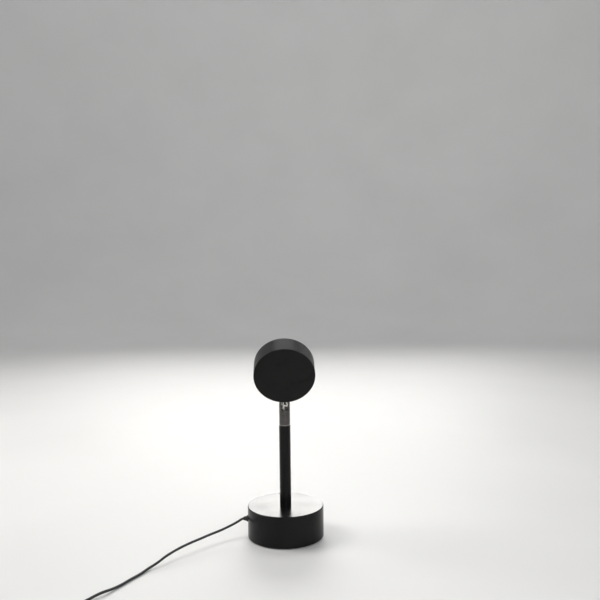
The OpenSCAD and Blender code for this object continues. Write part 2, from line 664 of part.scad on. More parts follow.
foot_pad();
base_plate();
base_screws();
base_shell();
base_weight();
cable_gland();
cable_clamp();
clamp_screws();
stem_nipple();
stem_washer();
lock_washer();
stem_nut();
stem_tube();
top_bush();
inner_lead();
thrust_washer();
neck_fork();
wave_washer();
retaining_clip();
neck_lead();
pivot_screw();
friction_washers();
hinge_wires();
head_lug();
lug_screws();
head_shell();
head_grommet();
mounting_plate();
plate_screws();
thermal_pad();
led_board();
board_screws();
led_emitter();
led_leads();
light_tube();
filter_disc();
filter_ring();
projection_lens();
lens_gasket();
lens_bezel();
cord_run();
switch_case_bottom();
switch_case_top();
switch_button();
switch_unit();
switch_spring();
switch_screws();
switch_boots();
cord_link();
cord_coil();
cord_tie();
cord_tail();
plug_grip();
plug_shell();
plug_tongue();
plug_contacts();
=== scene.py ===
import json
import math

import bmesh
import bpy
import numpy as np
from mathutils import Matrix, Vector

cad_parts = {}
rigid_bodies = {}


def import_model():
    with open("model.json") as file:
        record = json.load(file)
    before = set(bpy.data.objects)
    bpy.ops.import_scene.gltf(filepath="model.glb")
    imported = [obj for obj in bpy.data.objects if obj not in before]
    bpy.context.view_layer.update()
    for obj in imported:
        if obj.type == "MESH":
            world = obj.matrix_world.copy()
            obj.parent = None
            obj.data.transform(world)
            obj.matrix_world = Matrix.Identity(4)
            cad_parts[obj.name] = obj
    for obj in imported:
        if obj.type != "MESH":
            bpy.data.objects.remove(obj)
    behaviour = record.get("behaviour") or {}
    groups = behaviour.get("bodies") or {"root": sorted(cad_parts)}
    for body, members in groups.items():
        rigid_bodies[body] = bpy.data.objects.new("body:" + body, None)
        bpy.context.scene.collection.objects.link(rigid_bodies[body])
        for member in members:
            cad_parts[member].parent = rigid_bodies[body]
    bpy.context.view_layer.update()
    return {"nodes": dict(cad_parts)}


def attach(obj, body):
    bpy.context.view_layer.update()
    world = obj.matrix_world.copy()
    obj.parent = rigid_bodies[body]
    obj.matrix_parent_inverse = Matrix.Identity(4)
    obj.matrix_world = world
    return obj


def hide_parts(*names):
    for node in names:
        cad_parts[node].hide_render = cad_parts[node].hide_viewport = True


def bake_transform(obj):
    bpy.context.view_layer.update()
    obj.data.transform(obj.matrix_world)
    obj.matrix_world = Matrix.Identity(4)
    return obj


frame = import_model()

nodes = frame["nodes"]
scene = bpy.context.scene
MM = 0.001


# ------------------------------------------------------------------ frames

def turn(axis, degrees):
    return Matrix.Rotation(math.radians(degrees), 4, axis)


def shift(x, y, z):
    """A move in millimetres."""
    return Matrix.Translation((x * MM, y * MM, z * MM))


WORLD = Matrix.Identity(4)
NECK = turn("Z", 2)
HEAD = NECK @ shift(0, 0, 142) @ turn("X", 23)
BEAM_IN_HEAD = shift(0, -11.75, 38.5) @ turn("X", -90)
BEAM = HEAD @ BEAM_IN_HEAD
SWITCH = shift(-114, -191, 0)
PLUG = shift(-6, -209.5, 3.8)
ALONG_X = turn("Y", 90)


# ------------------------------------------------------------------ camera

camera_data = bpy.data.cameras.new("camera")
camera_data.lens = 42
camera_data.sensor_width = 36
camera_data.clip_start = 0.02
camera_data.clip_end = 60
camera = bpy.data.objects.new("camera", camera_data)
scene.collection.objects.link(camera)
camera.matrix_world = shift(17.55, -731.94, 278.57) @ turn("X", 87.71) @ turn("Z", -0.62)
scene.camera = camera


# ------------------------------------------------------------------ lead routes, in mm as in the CAD

RUN = [(-38, 0, 18.4), (-41.5, 0, 18.4), (-44, 0, 18.4), (-46.5, -0.3, 17.8), (-50, -1.5, 16),
       (-56, -5, 13.7), (-62, -9, 12), (-68, -14, 10.9), (-74, -19.5, 10.3),
       (-79.5, -25, 9.9), (-85, -31, 9.5), (-90, -36.5, 9.2), (-95, -42, 8.9),
       (-100, -48, 8.5), (-105, -54, 7.8), (-110, -60.5, 6.9), (-115, -67.5, 5.7),
       (-119.5, -75, 4.2), (-124, -80.5, 2.7), (-128.3, -86, 1.7),
       (-132, -94, 1.3), (-136, -101.5, 1.3), (-140, -108.5, 1.3),
       (-143.5, -115.5, 1.3), (-147, -121.5, 1.4), (-151, -128, 2),
       (-155, -134, 2.8), (-158.8, -138.5, 2.8), (-162.8, -142.5, 2.1),
       (-167, -148, 1.5), (-171.5, -156, 1.3), (-174.5, -165, 1.3),
       (-174.5, -174, 1.3), (-170.5, -182, 1.5), (-164, -187.5, 2.6),
       (-157.5, -190.3, 4.8), (-152, -191, 6), (-148, -191, 6.2), (-142, -191, 6.2),
       (-125, -191, 6.2)]
LINK = [(-103, -191, 6.2), (-86, -191, 6.2), (-79.5, -191, 6.2), (-77, -191.3, 6),
        (-73, -192.6, 4.9), (-68, -196, 2.6), (-63.5, -200.6, 1.5),
        (-58, -205.6, 1.3), (-52, -208.8, 1.3), (-46, -209.6, 1.3)]
TAIL = [(-46, -208.3, 11), (-42, -208.9, 11.3), (-38.5, -209.4, 10.85), (-35, -209.6, 9.7),
        (-31, -209.6, 8.1), (-27, -209.6, 6.4), (-23, -209.5, 5), (-18.5, -209.5, 4.1),
        (-13, -209.5, 3.8), (-4, -209.5, 3.8), (2, -209.5, 3.8)]
PAIR = [(0, 0, 133.3), (-0.4, -0.3, 133.9), (-1, -1, 134.7), (-1.3, -1.9, 135.8),
        (-1.3, -3, 137), (-1.1, -4, 138.3), (-0.9, -4.9, 139.5)]
LEFT = [(-1.5, -5.8, 140.8), (-1.3, -6.7, 142), (-1.1, -7.8, 143.4),
        (-0.8, -8.7, 144.5), (-0.7, -9.1, 145.3)]
RIGHT = [(0.8, -5.2, 139.4), (1.6, -5.5, 138.8), (2.3, -5.8, 138.8), (2.7, -6.3, 139.8),
         (2.6, -7.1, 141.3), (2, -7.8, 142.6), (1.2, -8.5, 143.9), (0.8, -8.9, 144.8),
         (0.7, -9.1, 145.3)]
LED = [(0, -7.1, 6.85), (0, -7.1, 9), (0, -7.1, 11), (0, -6.6, 12.8), (0, -5.3, 14.6),
       (0, -3.9, 17), (0, -2.9, 20), (0, -2.6, 24), (0, -2.7, 27.5), (0, -3, 29.5)]
COIL = (-46.0, -192.0)


def smooth_line(points, steps):
    p = [np.array(q, float) for q in points]
    out = []
    for i in range(len(p) - 1):
        a, b, c, d = p[max(i - 1, 0)], p[i], p[i + 1], p[min(i + 2, len(p) - 1)]
        for k in range(steps):
            t = k / steps
            out.append(0.5 * (2 * b + (c - a) * t + (2 * a - 5 * b + 4 * c - d) * t * t
                              + (3 * b - a - 3 * c + d) * t ** 3))
    return out + [p[-1]]


def coil_line():
    """Twelve turns as four layers of three, wound in and out. Every turn takes its next place
    in the same stretch, and the turns that change layer swing clear of their neighbours there."""
    inner, middle, outer = 12.4, 15.0, 17.6
    layers = [1.3, 3.8, 6.3, 8.8]
    places = []
    for i, z in enumerate(layers):
        row = (outer, middle, inner) if i % 2 == 0 else (inner, middle, outer)
        places += [(r, z) for r in row]
    places.append((16.3, 11.0))
    line = []
    for k in range(12):
        (r0, z0), (r1, z1) = places[k], places[k + 1]
        for step in range(36):
            a = step * 10.0
            t = min(max((a - 250) / 55, 0), 1)
            s, swing = t * t * (3 - 2 * t), math.sin(math.pi * t)
            r, z = r0 + (r1 - r0) * s, z0 + (z1 - z0) * s
            if k in (2, 8):
                r -= 0.9 * swing
            elif k == 5:
                r += 0.9 * swing
            elif k == 11:
                z += 1.3 * swing
            z += 0.62 * 0.5 * (1 + math.cos(math.pi * min(abs(a - 90) / 38, 1)))
            r += 0.05 * math.sin(math.radians(3 * a + 50 * k))
            w = math.radians(a - 90)
            line.append(np.array((COIL[0] + r * math.cos(w), COIL[1] + r * math.sin(w), z)))
    return line


run_line = smooth_line(RUN, 5)
wound = coil_line()
tail_line = smooth_line([tuple(wound[-2]), *TAIL], 5)[5:]
store_line = smooth_line(LINK, 5)[:-1] + wound + tail_line


def tube(name, line, radius):
    data = bpy.data.curves.new(name, "CURVE")
    data.dimensions = "3D"
    data.bevel_depth = radius * MM
    data.bevel_resolution = 5
    data.use_fill_caps = True
    spline = data.splines.new("POLY")
    spline.points.add(len(line) - 1)
    for point, q in zip(spline.points, line):
        point.co = (q[0] * MM, q[1] * MM, q[2] * MM, 1)
    spline.use_smooth = True
    ob = bpy.data.objects.new(name, data)
    scene.collection.objects.link(ob)
    return ob


lead_run = tube("lead_to_switch", run_line, 1.25)
lead_store = tube("lead_to_plug", store_line, 1.25)


# ------------------------------------------------------------------ materials

class Finish:
    """A Principled material with its patterns in the object's own coordinates, in metres."""

    def __init__(self, name, metallic=0.0, ior=1.5, **sockets):
        self.m = bpy.data.materials.new(name)
        self.m.use_nodes = True
        self.t = self.m.node_tree
        self.t.nodes.clear()
        self.out = self.t.nodes.new("ShaderNodeOutputMaterial")
        self.p = self.t.nodes.new("ShaderNodeBsdfPrincipled")
        self.t.links.new(self.p.outputs[0], self.out.inputs[0])
        self.p.inputs["Metallic"].default_value = metallic
        self.p.inputs["IOR"].default_value = ior
        for key, value in sockets.items():
            self.p.inputs[key.replace("_", " ")].default_value = value
        self.where = self.t.nodes.new("ShaderNodeTexCoord").outputs["Object"]
        self.height = None

    def node(self, kind, **settings):
        n = self.t.nodes.new(kind)
        for key, value in settings.items():
            setattr(n, key, value)
        return n

    def link(self, source, target):
        if isinstance(source, (int, float)):
            target.default_value = source
        elif isinstance(source, tuple):
            target.default_value = source if len(source) == 4 or target.type == "VECTOR" else (*source, 1)
        else:
            self.t.links.new(source, target)

    def noise(self, scale, detail=2.0, roughness=0.5, where=None, stretch=None):
        n = self.node("ShaderNodeTexNoise")
        n.inputs["Scale"].default_value = scale
        n.inputs["Detail"].default_value = detail
        n.inputs["Roughness"].default_value = roughness
        where = where or self.where
        if stretch:
            m = self.node("ShaderNodeMapping")
            m.inputs["Scale"].default_value = stretch
            self.link(where, m.inputs["Vector"])
            where = m.outputs[0]
        self.link(where, n.inputs["Vector"])
        return n.outputs["Fac"]

    def lines(self, axis, scale, detail=3.0):
        """Turning marks: noise that changes only along a direction."""
        d = self.node("ShaderNodeVectorMath", operation="DOT_PRODUCT")
        self.link(self.where, d.inputs[0])
        d.inputs[1].default_value = axis
        n = self.node("ShaderNodeTexNoise", noise_dimensions="1D")
        n.inputs["Scale"].default_value = scale
        n.inputs["Detail"].default_value = detail
        self.link(d.outputs["Value"], n.inputs["W"])
        return n.outputs["Fac"]

    def rings(self, centre, axis, scale, detail=3.0, raw=False):
        """Facing marks: noise that changes only with the distance from an axis."""
        s = self.node("ShaderNodeVectorMath", operation="SUBTRACT")
        self.link(self.where, s.inputs[0])
        s.inputs[1].default_value = centre
        c = self.node("ShaderNodeVectorMath", operation="CROSS_PRODUCT")
        self.link(s.outputs[0], c.inputs[0])
        c.inputs[1].default_value = axis
        g = self.node("ShaderNodeVectorMath", operation="LENGTH")
        self.link(c.outputs[0], g.inputs[0])
        if raw:
            return g.outputs["Value"]
        n = self.node("ShaderNodeTexNoise", noise_dimensions="1D")
        n.inputs["Scale"].default_value = scale
        n.inputs["Detail"].default_value = detail
        self.link(g.outputs["Value"], n.inputs["W"])
        return n.outputs["Fac"]

    def math(self, operation, a, b=0.0, c=0.0, clamp=False):
        n = self.node("ShaderNodeMath", operation=operation, use_clamp=clamp)
        for value, socket in zip((a, b, c), n.inputs):
            self.link(value, socket)
        return n.outputs[0]

    def span(self, value, low, high, lo=0.3, hi=0.7):
        n = self.node("ShaderNodeMapRange", clamp=True)
        for v, key in ((value, "Value"), (lo, "From Min"), (hi, "From Max"), (low, "To Min"), (high, "To Max")):
            self.link(v, n.inputs[key])
        return n.outputs[0]

    def mix(self, fac, a, b):
        n = self.node("ShaderNodeMix", data_type="RGBA")
        self.link(fac, n.inputs[0])
        self.link(a, n.inputs[6])
        self.link(b, n.inputs[7])
        return n.outputs[2]

    def attribute(self, name):
        return self.node("ShaderNodeAttribute", attribute_name=name).outputs["Fac"]

    def colour(self, value):
        self.link(value, self.p.inputs["Base Color"])

    def rough(self, value):
        self.link(value, self.p.inputs["Roughness"])

    def bump(self, height, distance, strength=1.0):
        """distance in mm. Calls add up."""
        n = self.node("ShaderNodeBump")
        n.inputs["Strength"].default_value = strength
        n.inputs["Distance"].default_value = distance * MM
        self.link(height, n.inputs["Height"])
        if self.height is not None:
            self.link(self.height, n.inputs["Normal"])
        self.height = n.outputs[0]
        self.link(self.height, self.p.inputs["Normal"])


def coated(name, dark, light, rough, grain, depth, worn, peel=0.0, gloss=0.42):
    """Powder coat: a fine grain over a slow orange peel, dusty here and there, rubbed on its edges."""
    f = Finish(name, Specular_IOR_Level=gloss)
    slow = f.noise(38, 3)
    fine = f.noise(grain, 2, 0.6)
    specks = f.noise(grain * 2.3, 1)
    tone = f.math("ADD", f.math("MULTIPLY", slow, 0.45), f.math("MULTIPLY", fine, 0.55))
    base = f.mix(f.span(tone, 0, 1, 0.35, 0.65), dark, light)
    wear = f.math("MULTIPLY", f.attribute("wear"), f.span(f.noise(260, 4, 0.6), 0, 1, 0.42, 0.72))
    f.colour(f.mix(f.math("MULTIPLY", wear, 0.25), base, worn))
    spread = f.math("ADD", f.span(slow, 0, 1), f.math("MULTIPLY", f.span(specks, 0, 1), 0.5))
    f.rough(f.math("SUBTRACT", f.span(spread, rough[0], rough[1], 0.2, 1.3), f.math("MULTIPLY", wear, 0.03)))
    if peel:
        f.bump(f.noise(520, 2), peel)
    f.bump(fine, depth)
    return f.m


def moulded(name, dark, light, rough, grain, depth, sheen=0.0, worn=None):
    """Moulded plastic or rubber with a fine etched texture."""
    f = Finish(name, Sheen_Weight=sheen, Sheen_Roughness=0.5)
    slow = f.noise(60, 3)
    fine = f.noise(grain, 2, 0.7)
    base = f.mix(f.span(f.math("ADD", f.math("MULTIPLY", slow, 0.6), f.math("MULTIPLY", fine, 0.4)), 0, 1, 0.35, 0.65), dark, light)
    if worn:
        base = f.mix(f.math("MULTIPLY", f.attribute("wear"), f.span(f.noise(420, 3), 0, 0.5)), base, worn)
    f.colour(base)
    f.rough(f.span(slow, rough[0], rough[1]))
    f.bump(fine, depth)
    return f.m


def metal(name, dark, light, rough, marks=None, grain=900, depth=0.004, stretch=None):
    """Metal with turning marks, a drawn grain or a plating's faint mottle."""
    f = Finish(name, metallic=1.0)
    slow = f.noise(70, 3)
    fine = marks(f) if marks else f.noise(grain, 2, 0.6, stretch=stretch)
    base = f.mix(f.span(f.math("ADD", f.math("MULTIPLY", slow, 0.5), f.math("MULTIPLY", fine, 0.5)), 0, 1, 0.35, 0.65), dark, light)
    f.colour(base)
    f.rough(f.span(f.math("ADD", f.math("MULTIPLY", slow, 0.6), f.math("MULTIPLY", fine, 0.4)), rough[0], rough[1], 0.35, 0.65))
    f.bump(fine, depth)
    return f.m


def axis_of(matrix, local=(0, 0, 1)):
    v = matrix.to_3x3() @ Vector(local)
    return tuple(v.normalized())


BLACK = coated("satin_black", (0.005, 0.0048, 0.0048), (0.0092, 0.009, 0.0089), (0.2, 0.27), 2100, 0.008, (0.05, 0.048, 0.047), peel=0.012, gloss=0.16)
HEAD_BLACK = coated("head_black", (0.005, 0.0048, 0.0048), (0.0092, 0.009, 0.0089), (0.25, 0.34), 2100, 0.01, (0.055, 0.053, 0.051), peel=0.012, gloss=0.16)
BEZEL_BLACK = coated("bezel_black", (0.006, 0.006, 0.006), (0.011, 0.011, 0.011), (0.24, 0.34), 3200, 0.006, (0.07, 0.068, 0.066), gloss=0.3)
RUBBER = moulded("black_rubber", (0.016, 0.016, 0.016), (0.034, 0.033, 0.032), (0.62, 0.8), 2600, 0.02)
JACKET = moulded("lead_jacket", (0.013, 0.013, 0.014), (0.024, 0.024, 0.026), (0.38, 0.52), 1900, 0.01, sheen=0.08)
PLASTIC = moulded("black_plastic", (0.016, 0.016, 0.017), (0.03, 0.03, 0.032), (0.48, 0.6), 3400, 0.016, worn=(0.045, 0.045, 0.047))
BUTTON = moulded("button_plastic", (0.04, 0.04, 0.043), (0.06, 0.06, 0.064), (0.2, 0.32), 1400, 0.003)
TIE_PLASTIC = moulded("tie_plastic", (0.012, 0.012, 0.012), (0.022, 0.022, 0.023), (0.3, 0.42), 1500, 0.008)
NYLON = moulded("white_nylon", (0.74, 0.73, 0.68), (0.86, 0.85, 0.8), (0.38, 0.5), 1600, 0.004)
TUBE_BLACK = moulded("tube_black", (0.012, 0.012, 0.013), (0.02, 0.02, 0.021), (0.7, 0.85), 2600, 0.02)


def wire_insulation():
    """Off-white silicone with a grey stripe on the one wire that is marked."""
    f = Finish("wire_white")
    n = f.noise(900, 3)
    base = f.mix(f.span(n, 0, 1), (0.84, 0.82, 0.77), (0.92, 0.905, 0.86))
    f.colour(f.mix(f.span(f.attribute("stripe"), 0, 1, 0.4, 0.6), base, (0.16, 0.16, 0.17)))
    f.rough(f.span(n, 0.13, 0.2))
    f.bump(f.noise(1800, 2), 0.002)
    return f.m


WIRE = wire_insulation()
PAD = moulded("pad_silicone", (0.58, 0.62, 0.54), (0.7, 0.73, 0.66), (0.6, 0.75), 1500, 0.01)
BOARD = moulded("board_white", (0.8, 0.8, 0.78), (0.88, 0.88, 0.86), (0.25, 0.38), 2200, 0.003)

NECK_METAL = metal("dark_metal", (0.088, 0.082, 0.079), (0.125, 0.118, 0.113), (0.24, 0.34),
                   marks=lambda f: f.lines((0, 0, 1), 5200), depth=0.0025)
ZINC = metal("zinc_steel", (0.55, 0.56, 0.58), (0.68, 0.69, 0.7), (0.28, 0.42), grain=700)
OXIDE = metal("black_steel", (0.06, 0.06, 0.064), (0.11, 0.11, 0.115), (0.34, 0.48), grain=1400)
BRASS = metal("yellow_brass", (0.66, 0.48, 0.2), (0.78, 0.6, 0.3), (0.26, 0.4), marks=lambda f: f.lines((0, 0, 1), 3000))
IRON = metal("grey_iron", (0.14, 0.14, 0.145), (0.25, 0.25, 0.255), (0.55, 0.75), grain=800, depth=0.05)
ALUMINIUM = metal("plate_aluminium", (0.68, 0.69, 0.7), (0.8, 0.81, 0.82), (0.3, 0.42), grain=260, depth=0.003, stretch=(12, 1, 1))
NICKEL = metal("plug_metal", (0.66, 0.67, 0.68), (0.78, 0.79, 0.8), (0.16, 0.28), grain=500, depth=0.002, stretch=(1, 9, 9))
GOLD = metal("gold_contact", (0.83, 0.6, 0.25), (0.92, 0.71, 0.34), (0.18, 0.28), grain=800, depth=0.001, stretch=(1, 9, 9))


def glass():
    f = Finish("clear_glass", ior=1.49, Transmission_Weight=1.0)
    smear = f.noise(24, 2, 0.5)
    f.colour(f.mix(f.span(smear, 0, 1), (0.955, 0.975, 0.98), (0.985, 0.995, 1.0)))
    f.rough(f.span(smear, 0.0, 0.012, 0.5, 0.75))
    return f.m


def filter_glass():
    """Warm in the middle, deeper towards the rim."""
    f = Finish("sunset_filter", ior=1.5, Transmission_Weight=0.45)
    centre = BEAM @ Vector((0, 0, 0))
    r = f.rings(tuple(centre), axis_of(BEAM), 1, raw=True)
    mid = f.mix(f.span(r, 0, 1, 0.004, 0.017), (1.0, 0.38, 0.03), (1.0, 0.15, 0.01))
    rim = f.mix(f.span(r, 0, 1, 0.016, 0.023), mid, (0.8, 0.03, 0.012))
    mottle = f.noise(300, 2)
    f.colour(f.mix(f.math("MULTIPLY", f.span(mottle, 0, 1), 0.12), rim, (0.75, 0.16, 0.02)))
    f.rough(f.span(mottle, 0.1, 0.18))
    return f.m


def phosphor():
    f = Finish("phosphor", Subsurface_Weight=0.0)
    n = f.noise(2600, 2)
    f.colour(f.mix(f.span(n, 0, 1), (0.78, 0.56, 0.07), (0.9, 0.7, 0.14)))
    f.rough(f.span(n, 0.3, 0.45))
    f.bump(n, 0.01)
    return f.m


GLASS, FILTER, PHOSPHOR = glass(), filter_glass(), phosphor()


# ------------------------------------------------------------------ mesh tools, in mm

def solid(name, verts, faces, wear=None):
    me = bpy.data.meshes.new(name)
    me.from_pydata([tuple(v) for v in verts], [], faces)
    me.update()
    bm = bmesh.new()
    bm.from_mesh(me)
    bmesh.ops.recalc_face_normals(bm, faces=bm.faces)
    bm.to_mesh(me)
    bm.free()
    if wear is not None:
        a = me.attributes.new("wear", "FLOAT", "POINT")
        a.data.foreach_set("value", [float(w) for w in wear])
    ob = bpy.data.objects.new(name, me)
    scene.collection.objects.link(ob)
    return ob


def moved(ob, matrix_mm):
    """matrix in mm."""
    ob.data.transform(matrix_mm)
    return ob


def in_mm(matrix):
    """The same move with its shift in mm."""
    m = matrix.copy()
    m.translation = m.translation / MM
    return m


def evaluated(ob):
    dg = bpy.context.evaluated_depsgraph_get()
    me = bpy.data.meshes.new_from_object(ob.evaluated_get(dg), preserve_all_data_layers=True, depsgraph=dg)
    old = ob.data
    ob.modifiers.clear()
    ob.data = me
    bpy.data.meshes.remove(old)
    return ob


def combine(ob, others, operation):
    for o in others:
        m = ob.modifiers.new("b", "BOOLEAN")
        m.operation, m.object, m.solver = operation, o, "EXACT"
    bpy.context.view_layer.update()
    evaluated(ob)
    for o in others:
        me = o.data
        bpy.data.objects.remove(o)
        bpy.data.meshes.remove(me)
    return ob


def cut(ob, *others):
    return combine(ob, others, "DIFFERENCE")


def add(ob, *others):
    return combine(ob, others, "UNION")


def keep(ob, *others):
    return combine(ob, others, "INTERSECT")


def block(x0, y0, z0, x1, y1, z1):
    v = [(x, y, z) for x in (x0, x1) for y in (y0, y1) for z in (z0, z1)]
    f = [(0, 1, 3, 2), (4, 6, 7, 5), (0, 4, 5, 1), (2, 3, 7, 6), (0, 2, 6, 4), (1, 5, 7, 3)]
    return solid("t", v, f)


def profile(points, closed=True, per_turn=28, hold=0.22, step=None):
    """Corners (r, z, radius, worn) to a line of (r, z, wear). Round corners become arcs, and a
    support row keeps the flat beside each arc flat. step splits long straight stretches."""
    pts = [(p[0], p[1], p[2] if len(p) > 2 else 0.0, p[3] if len(p) > 3 else 0) for p in points]
    n = len(pts)
    rows = []
    for i, (r, z, rad, worn) in enumerate(pts):
        here = np.array((r, z))
        if rad <= 0 or (not closed and i in (0, n - 1)):
            rows.append([(r, z, worn)])
            continue
        a = np.array(pts[(i - 1) % n][:2]) - here
        b = np.array(pts[(i + 1) % n][:2]) - here
        la, lb = np.linalg.norm(a), np.linalg.norm(b)
        a, b = a / la, b / lb
        angle = math.acos(max(-1.0, min(1.0, float(a @ b))))
        t = min(rad / math.tan(angle / 2), 0.48 * la, 0.48 * lb)
        rad = t * math.tan(angle / 2)
        mid = (a + b) / np.linalg.norm(a + b)
        centre = here + mid * (rad / math.sin(angle / 2))
        s, e = here + a * t, here + b * t
        a0 = math.atan2(*(s - centre)[::-1])
        a1 = math.atan2(*(e - centre)[::-1])
        sweep = (a1 - a0 + math.pi) % (2 * math.pi) - math.pi
        k = max(2, math.ceil(abs(sweep) / (2 * math.pi) * per_turn))
        rows.append([(centre[0] + rad * math.cos(a0 + sweep * j / k), centre[1] + rad * math.sin(a0 + sweep * j / k), worn) for j in range(k + 1)])
    out = []
    for i in range(n):
        out += rows[i]
        if i == n - 1 and not closed:
            break
        p, q = np.array(rows[i][-1][:2]), np.array(rows[(i + 1) % n][0][:2])
        gap = float(np.linalg.norm(q - p))
        inner = []
        if hold and gap > 3 * hold:
            inner = [hold / gap, 1 - hold / gap]
        if step and gap > 2 * step:
            k = math.ceil(gap / step)
            lo, hi = (inner[0], inner[1]) if inner else (0.0, 1.0)
            inner = sorted(set(inner + [lo + (hi - lo) * j / k for j in range(1, k)]))
        out += [(*(p + (q - p) * f), 0) for f in inner]
    clean = []
    for q in out:
        if not clean or math.hypot(q[0] - clean[-1][0], q[1] - clean[-1][1]) > 1e-5:
            clean.append(q)
    if closed and math.hypot(clean[0][0] - clean[-1][0], clean[0][1] - clean[-1][1]) < 1e-5:
        clean.pop()
    return clean


def lathe(line, n=128, closed=True):
    """Turns (r, z, wear) about Z. An open line starts and ends on the axis."""
    verts, wear, rings, faces = [], [], [], []
    for r, z, w in line:
        if r < 1e-6:
            rings.append([len(verts)])
            verts.append((0, 0, z))
            wear.append(w)
        else:
            rings.append(list(range(len(verts), len(verts) + n)))
            for k in range(n):
                a = 2 * math.pi * k / n
                verts.append((r * math.cos(a), r * math.sin(a), z))
                wear.append(w)
    for i in range(len(rings) if closed else len(rings) - 1):
        a, b = rings[i], rings[(i + 1) % len(rings)]
        for k in range(n):
            k2 = (k + 1) % n
            if len(a) == 1 and len(b) == 1:
                continue
            if len(a) == 1:
                faces.append((a[0], b[k], b[k2]))
            elif len(b) == 1:
                faces.append((a[k], b[0], a[k2]))
            else:
                faces.append((a[k], b[k], b[k2], a[k2]))
    return solid("t", verts, faces, wear)


def rod(r, z0, z1, n=48, r1=None):
    return lathe([(0, z0, 0), (r, z0, 0), (r if r1 is None else r1, z1, 0), (0, z1, 0)], n, closed=False)


def prism(outline, z0, z1):
    """A flat outline (x, y) raised from z0 to z1."""
    n = len(outline)
    verts = [(x, y, z0) for x, y in outline] + [(x, y, z1) for x, y in outline]
    faces = [tuple(range(n - 1, -1, -1)), tuple(range(n, 2 * n))]
    faces += [(k, (k + 1) % n, n + (k + 1) % n, n + k) for k in range(n)]
    return solid("t", verts, faces)


def hexagon(r, phase=0.0):
    return [(r * math.cos(math.radians(60 * k + phase)), r * math.sin(math.radians(60 * k + phase))) for k in range(6)]


def rounded(w, d, r, n=8):
    """A rectangle with round corners, counter-clockwise."""
    r = max(min(r, w / 2, d / 2), 1e-4)
    out = []
    for cx, cy, a0 in ((w / 2 - r, d / 2 - r, 0), (-w / 2 + r, d / 2 - r, 90), (-w / 2 + r, -d / 2 + r, 180), (w / 2 - r, -d / 2 + r, 270)):
        for k in range(n + 1):
            a = math.radians(a0 + 90 * k / n)
            out.append((cx + r * math.cos(a), cy + r * math.sin(a)))
    return out


def subdivided(loop, longest):
    """Splits the long sides of a closed outline."""
    out = []
    for i, p in enumerate(loop):
        q = loop[(i + 1) % len(loop)]
        out.append(p)
        k = math.ceil(math.dist(p, q) / longest)
        out += [(p[0] + (q[0] - p[0]) * j / k, p[1] + (q[1] - p[1]) * j / k) for j in range(1, k)]
    return out


def loft(sections, closed=False, wear=None):
    """Rows of points with the same count each, joined in order. Unless closed, both ends are capped."""
    n = len(sections[0])
    verts = [p for s in sections for p in s]
    w = [x for i in range(len(sections)) for x in [wear[i] if wear else 0.0] * n]
    faces = []
    m = len(sections)
    for i in range(m if closed else m - 1):
        j = (i + 1) % m
        faces += [(i * n + k, i * n + (k + 1) % n, j * n + (k + 1) % n, j * n + k) for k in range(n)]
    if not closed:
        faces += [tuple(range(n - 1, -1, -1)), tuple(range((m - 1) * n, m * n))]
    return solid("t", verts, faces, w)


def softened(ob, width, angle=32, segments=2):
    clean_up(ob)
    m = ob.modifiers.new("bevel", "BEVEL")
    m.width, m.segments = width, segments
    m.limit_method, m.angle_limit = "ANGLE", math.radians(angle)
    m.use_clamp_overlap = False
    m.miter_outer = "MITER_ARC"
    return evaluated(ob)


def clean_up(ob):
    bm = bmesh.new()
    bm.from_mesh(ob.data)
    bmesh.ops.remove_doubles(bm, verts=bm.verts, dist=0.002)
    bmesh.ops.dissolve_degenerate(bm, dist=0.001, edges=bm.edges)
    loose = [v for v in bm.verts if not v.link_faces]
    bmesh.ops.delete(bm, geom=loose, context="VERTS")
    bm.to_mesh(ob.data)
    bm.free()


def piece(ob, name, matrix, body, material, replaces=(), sharp=40, weighted=True):
    """The mm mesh goes to its place in metres, gets its finish and rides on its body."""
    clean_up(ob)
    ob.name = ob.data.name = name
    ob.data.polygons.foreach_set("use_smooth", [True] * len(ob.data.polygons))
    ob.data.set_sharp_from_angle(angle=math.radians(sharp))
    if weighted:
        m = ob.modifiers.new("n", "WEIGHTED_NORMAL")
        m.keep_sharp = True
        m.mode = "FACE_AREA"
        m.weight = 60
        evaluated(ob)
        ob.data.name = name
    ob.data.transform(matrix @ Matrix.Scale(MM, 4))
    ob.data.materials.clear()
    ob.data.materials.append(material)
    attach(ob, body)
    if replaces:
        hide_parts(*replaces)
    return ob


# ------------------------------------------------------------------ base

shell = lathe(profile([(38, 0.9, 0.15), (39.7, 0.9, 0.12, 1), (40, 1.2, 0.12, 1), (40, 32.3, 0.3, 1), (39.3, 33, 0.3, 1),
                       (5.1, 33), (5.1, 31), (38, 31, 0.3)], hold=0.3, step=2.4), 256)
cut(shell, moved(rod(2.6, 0, 8, 40), in_mm(shift(-36, 0, 18.4) @ turn("Y", -90))))
bosses = []
for a in (90, 210, 330):
    boss = lathe(profile([(1.25, 3.1, 0.1), (3.3, 3.1, 0.2), (3.3, 31.5), (0, 31.5), (0, 15.1), (1.25, 15.1)], closed=True), 40)
    bosses.append(moved(boss, in_mm(turn("Z", a) @ shift(35, 0, 0))))
add(shell, *bosses)
piece(shell, "base_shell_coated", WORLD, "base", BLACK, ["base_shell"])

foot = lathe(profile([(0, 1.5), (36.6, 1.5, 0.2), (36.6, 0, 0.35), (34.2, 0, 0.15), (34.0, 0.35, 0.12), (33.2, 0.35, 0.12), (33.0, 0, 0.15),
                      (21.2, 0, 0.15), (21.0, 0.35, 0.12), (20.2, 0.35, 0.12), (20.0, 0, 0.15),
                      (8.2, 0, 0.15), (8.0, 0.35, 0.12), (7.2, 0.35, 0.12), (7.0, 0, 0.15), (0, 0)], closed=False, step=4), 192, closed=False)
piece(foot, "foot_pad_rubber", WORLD, "base", RUBBER, ["foot_pad"])

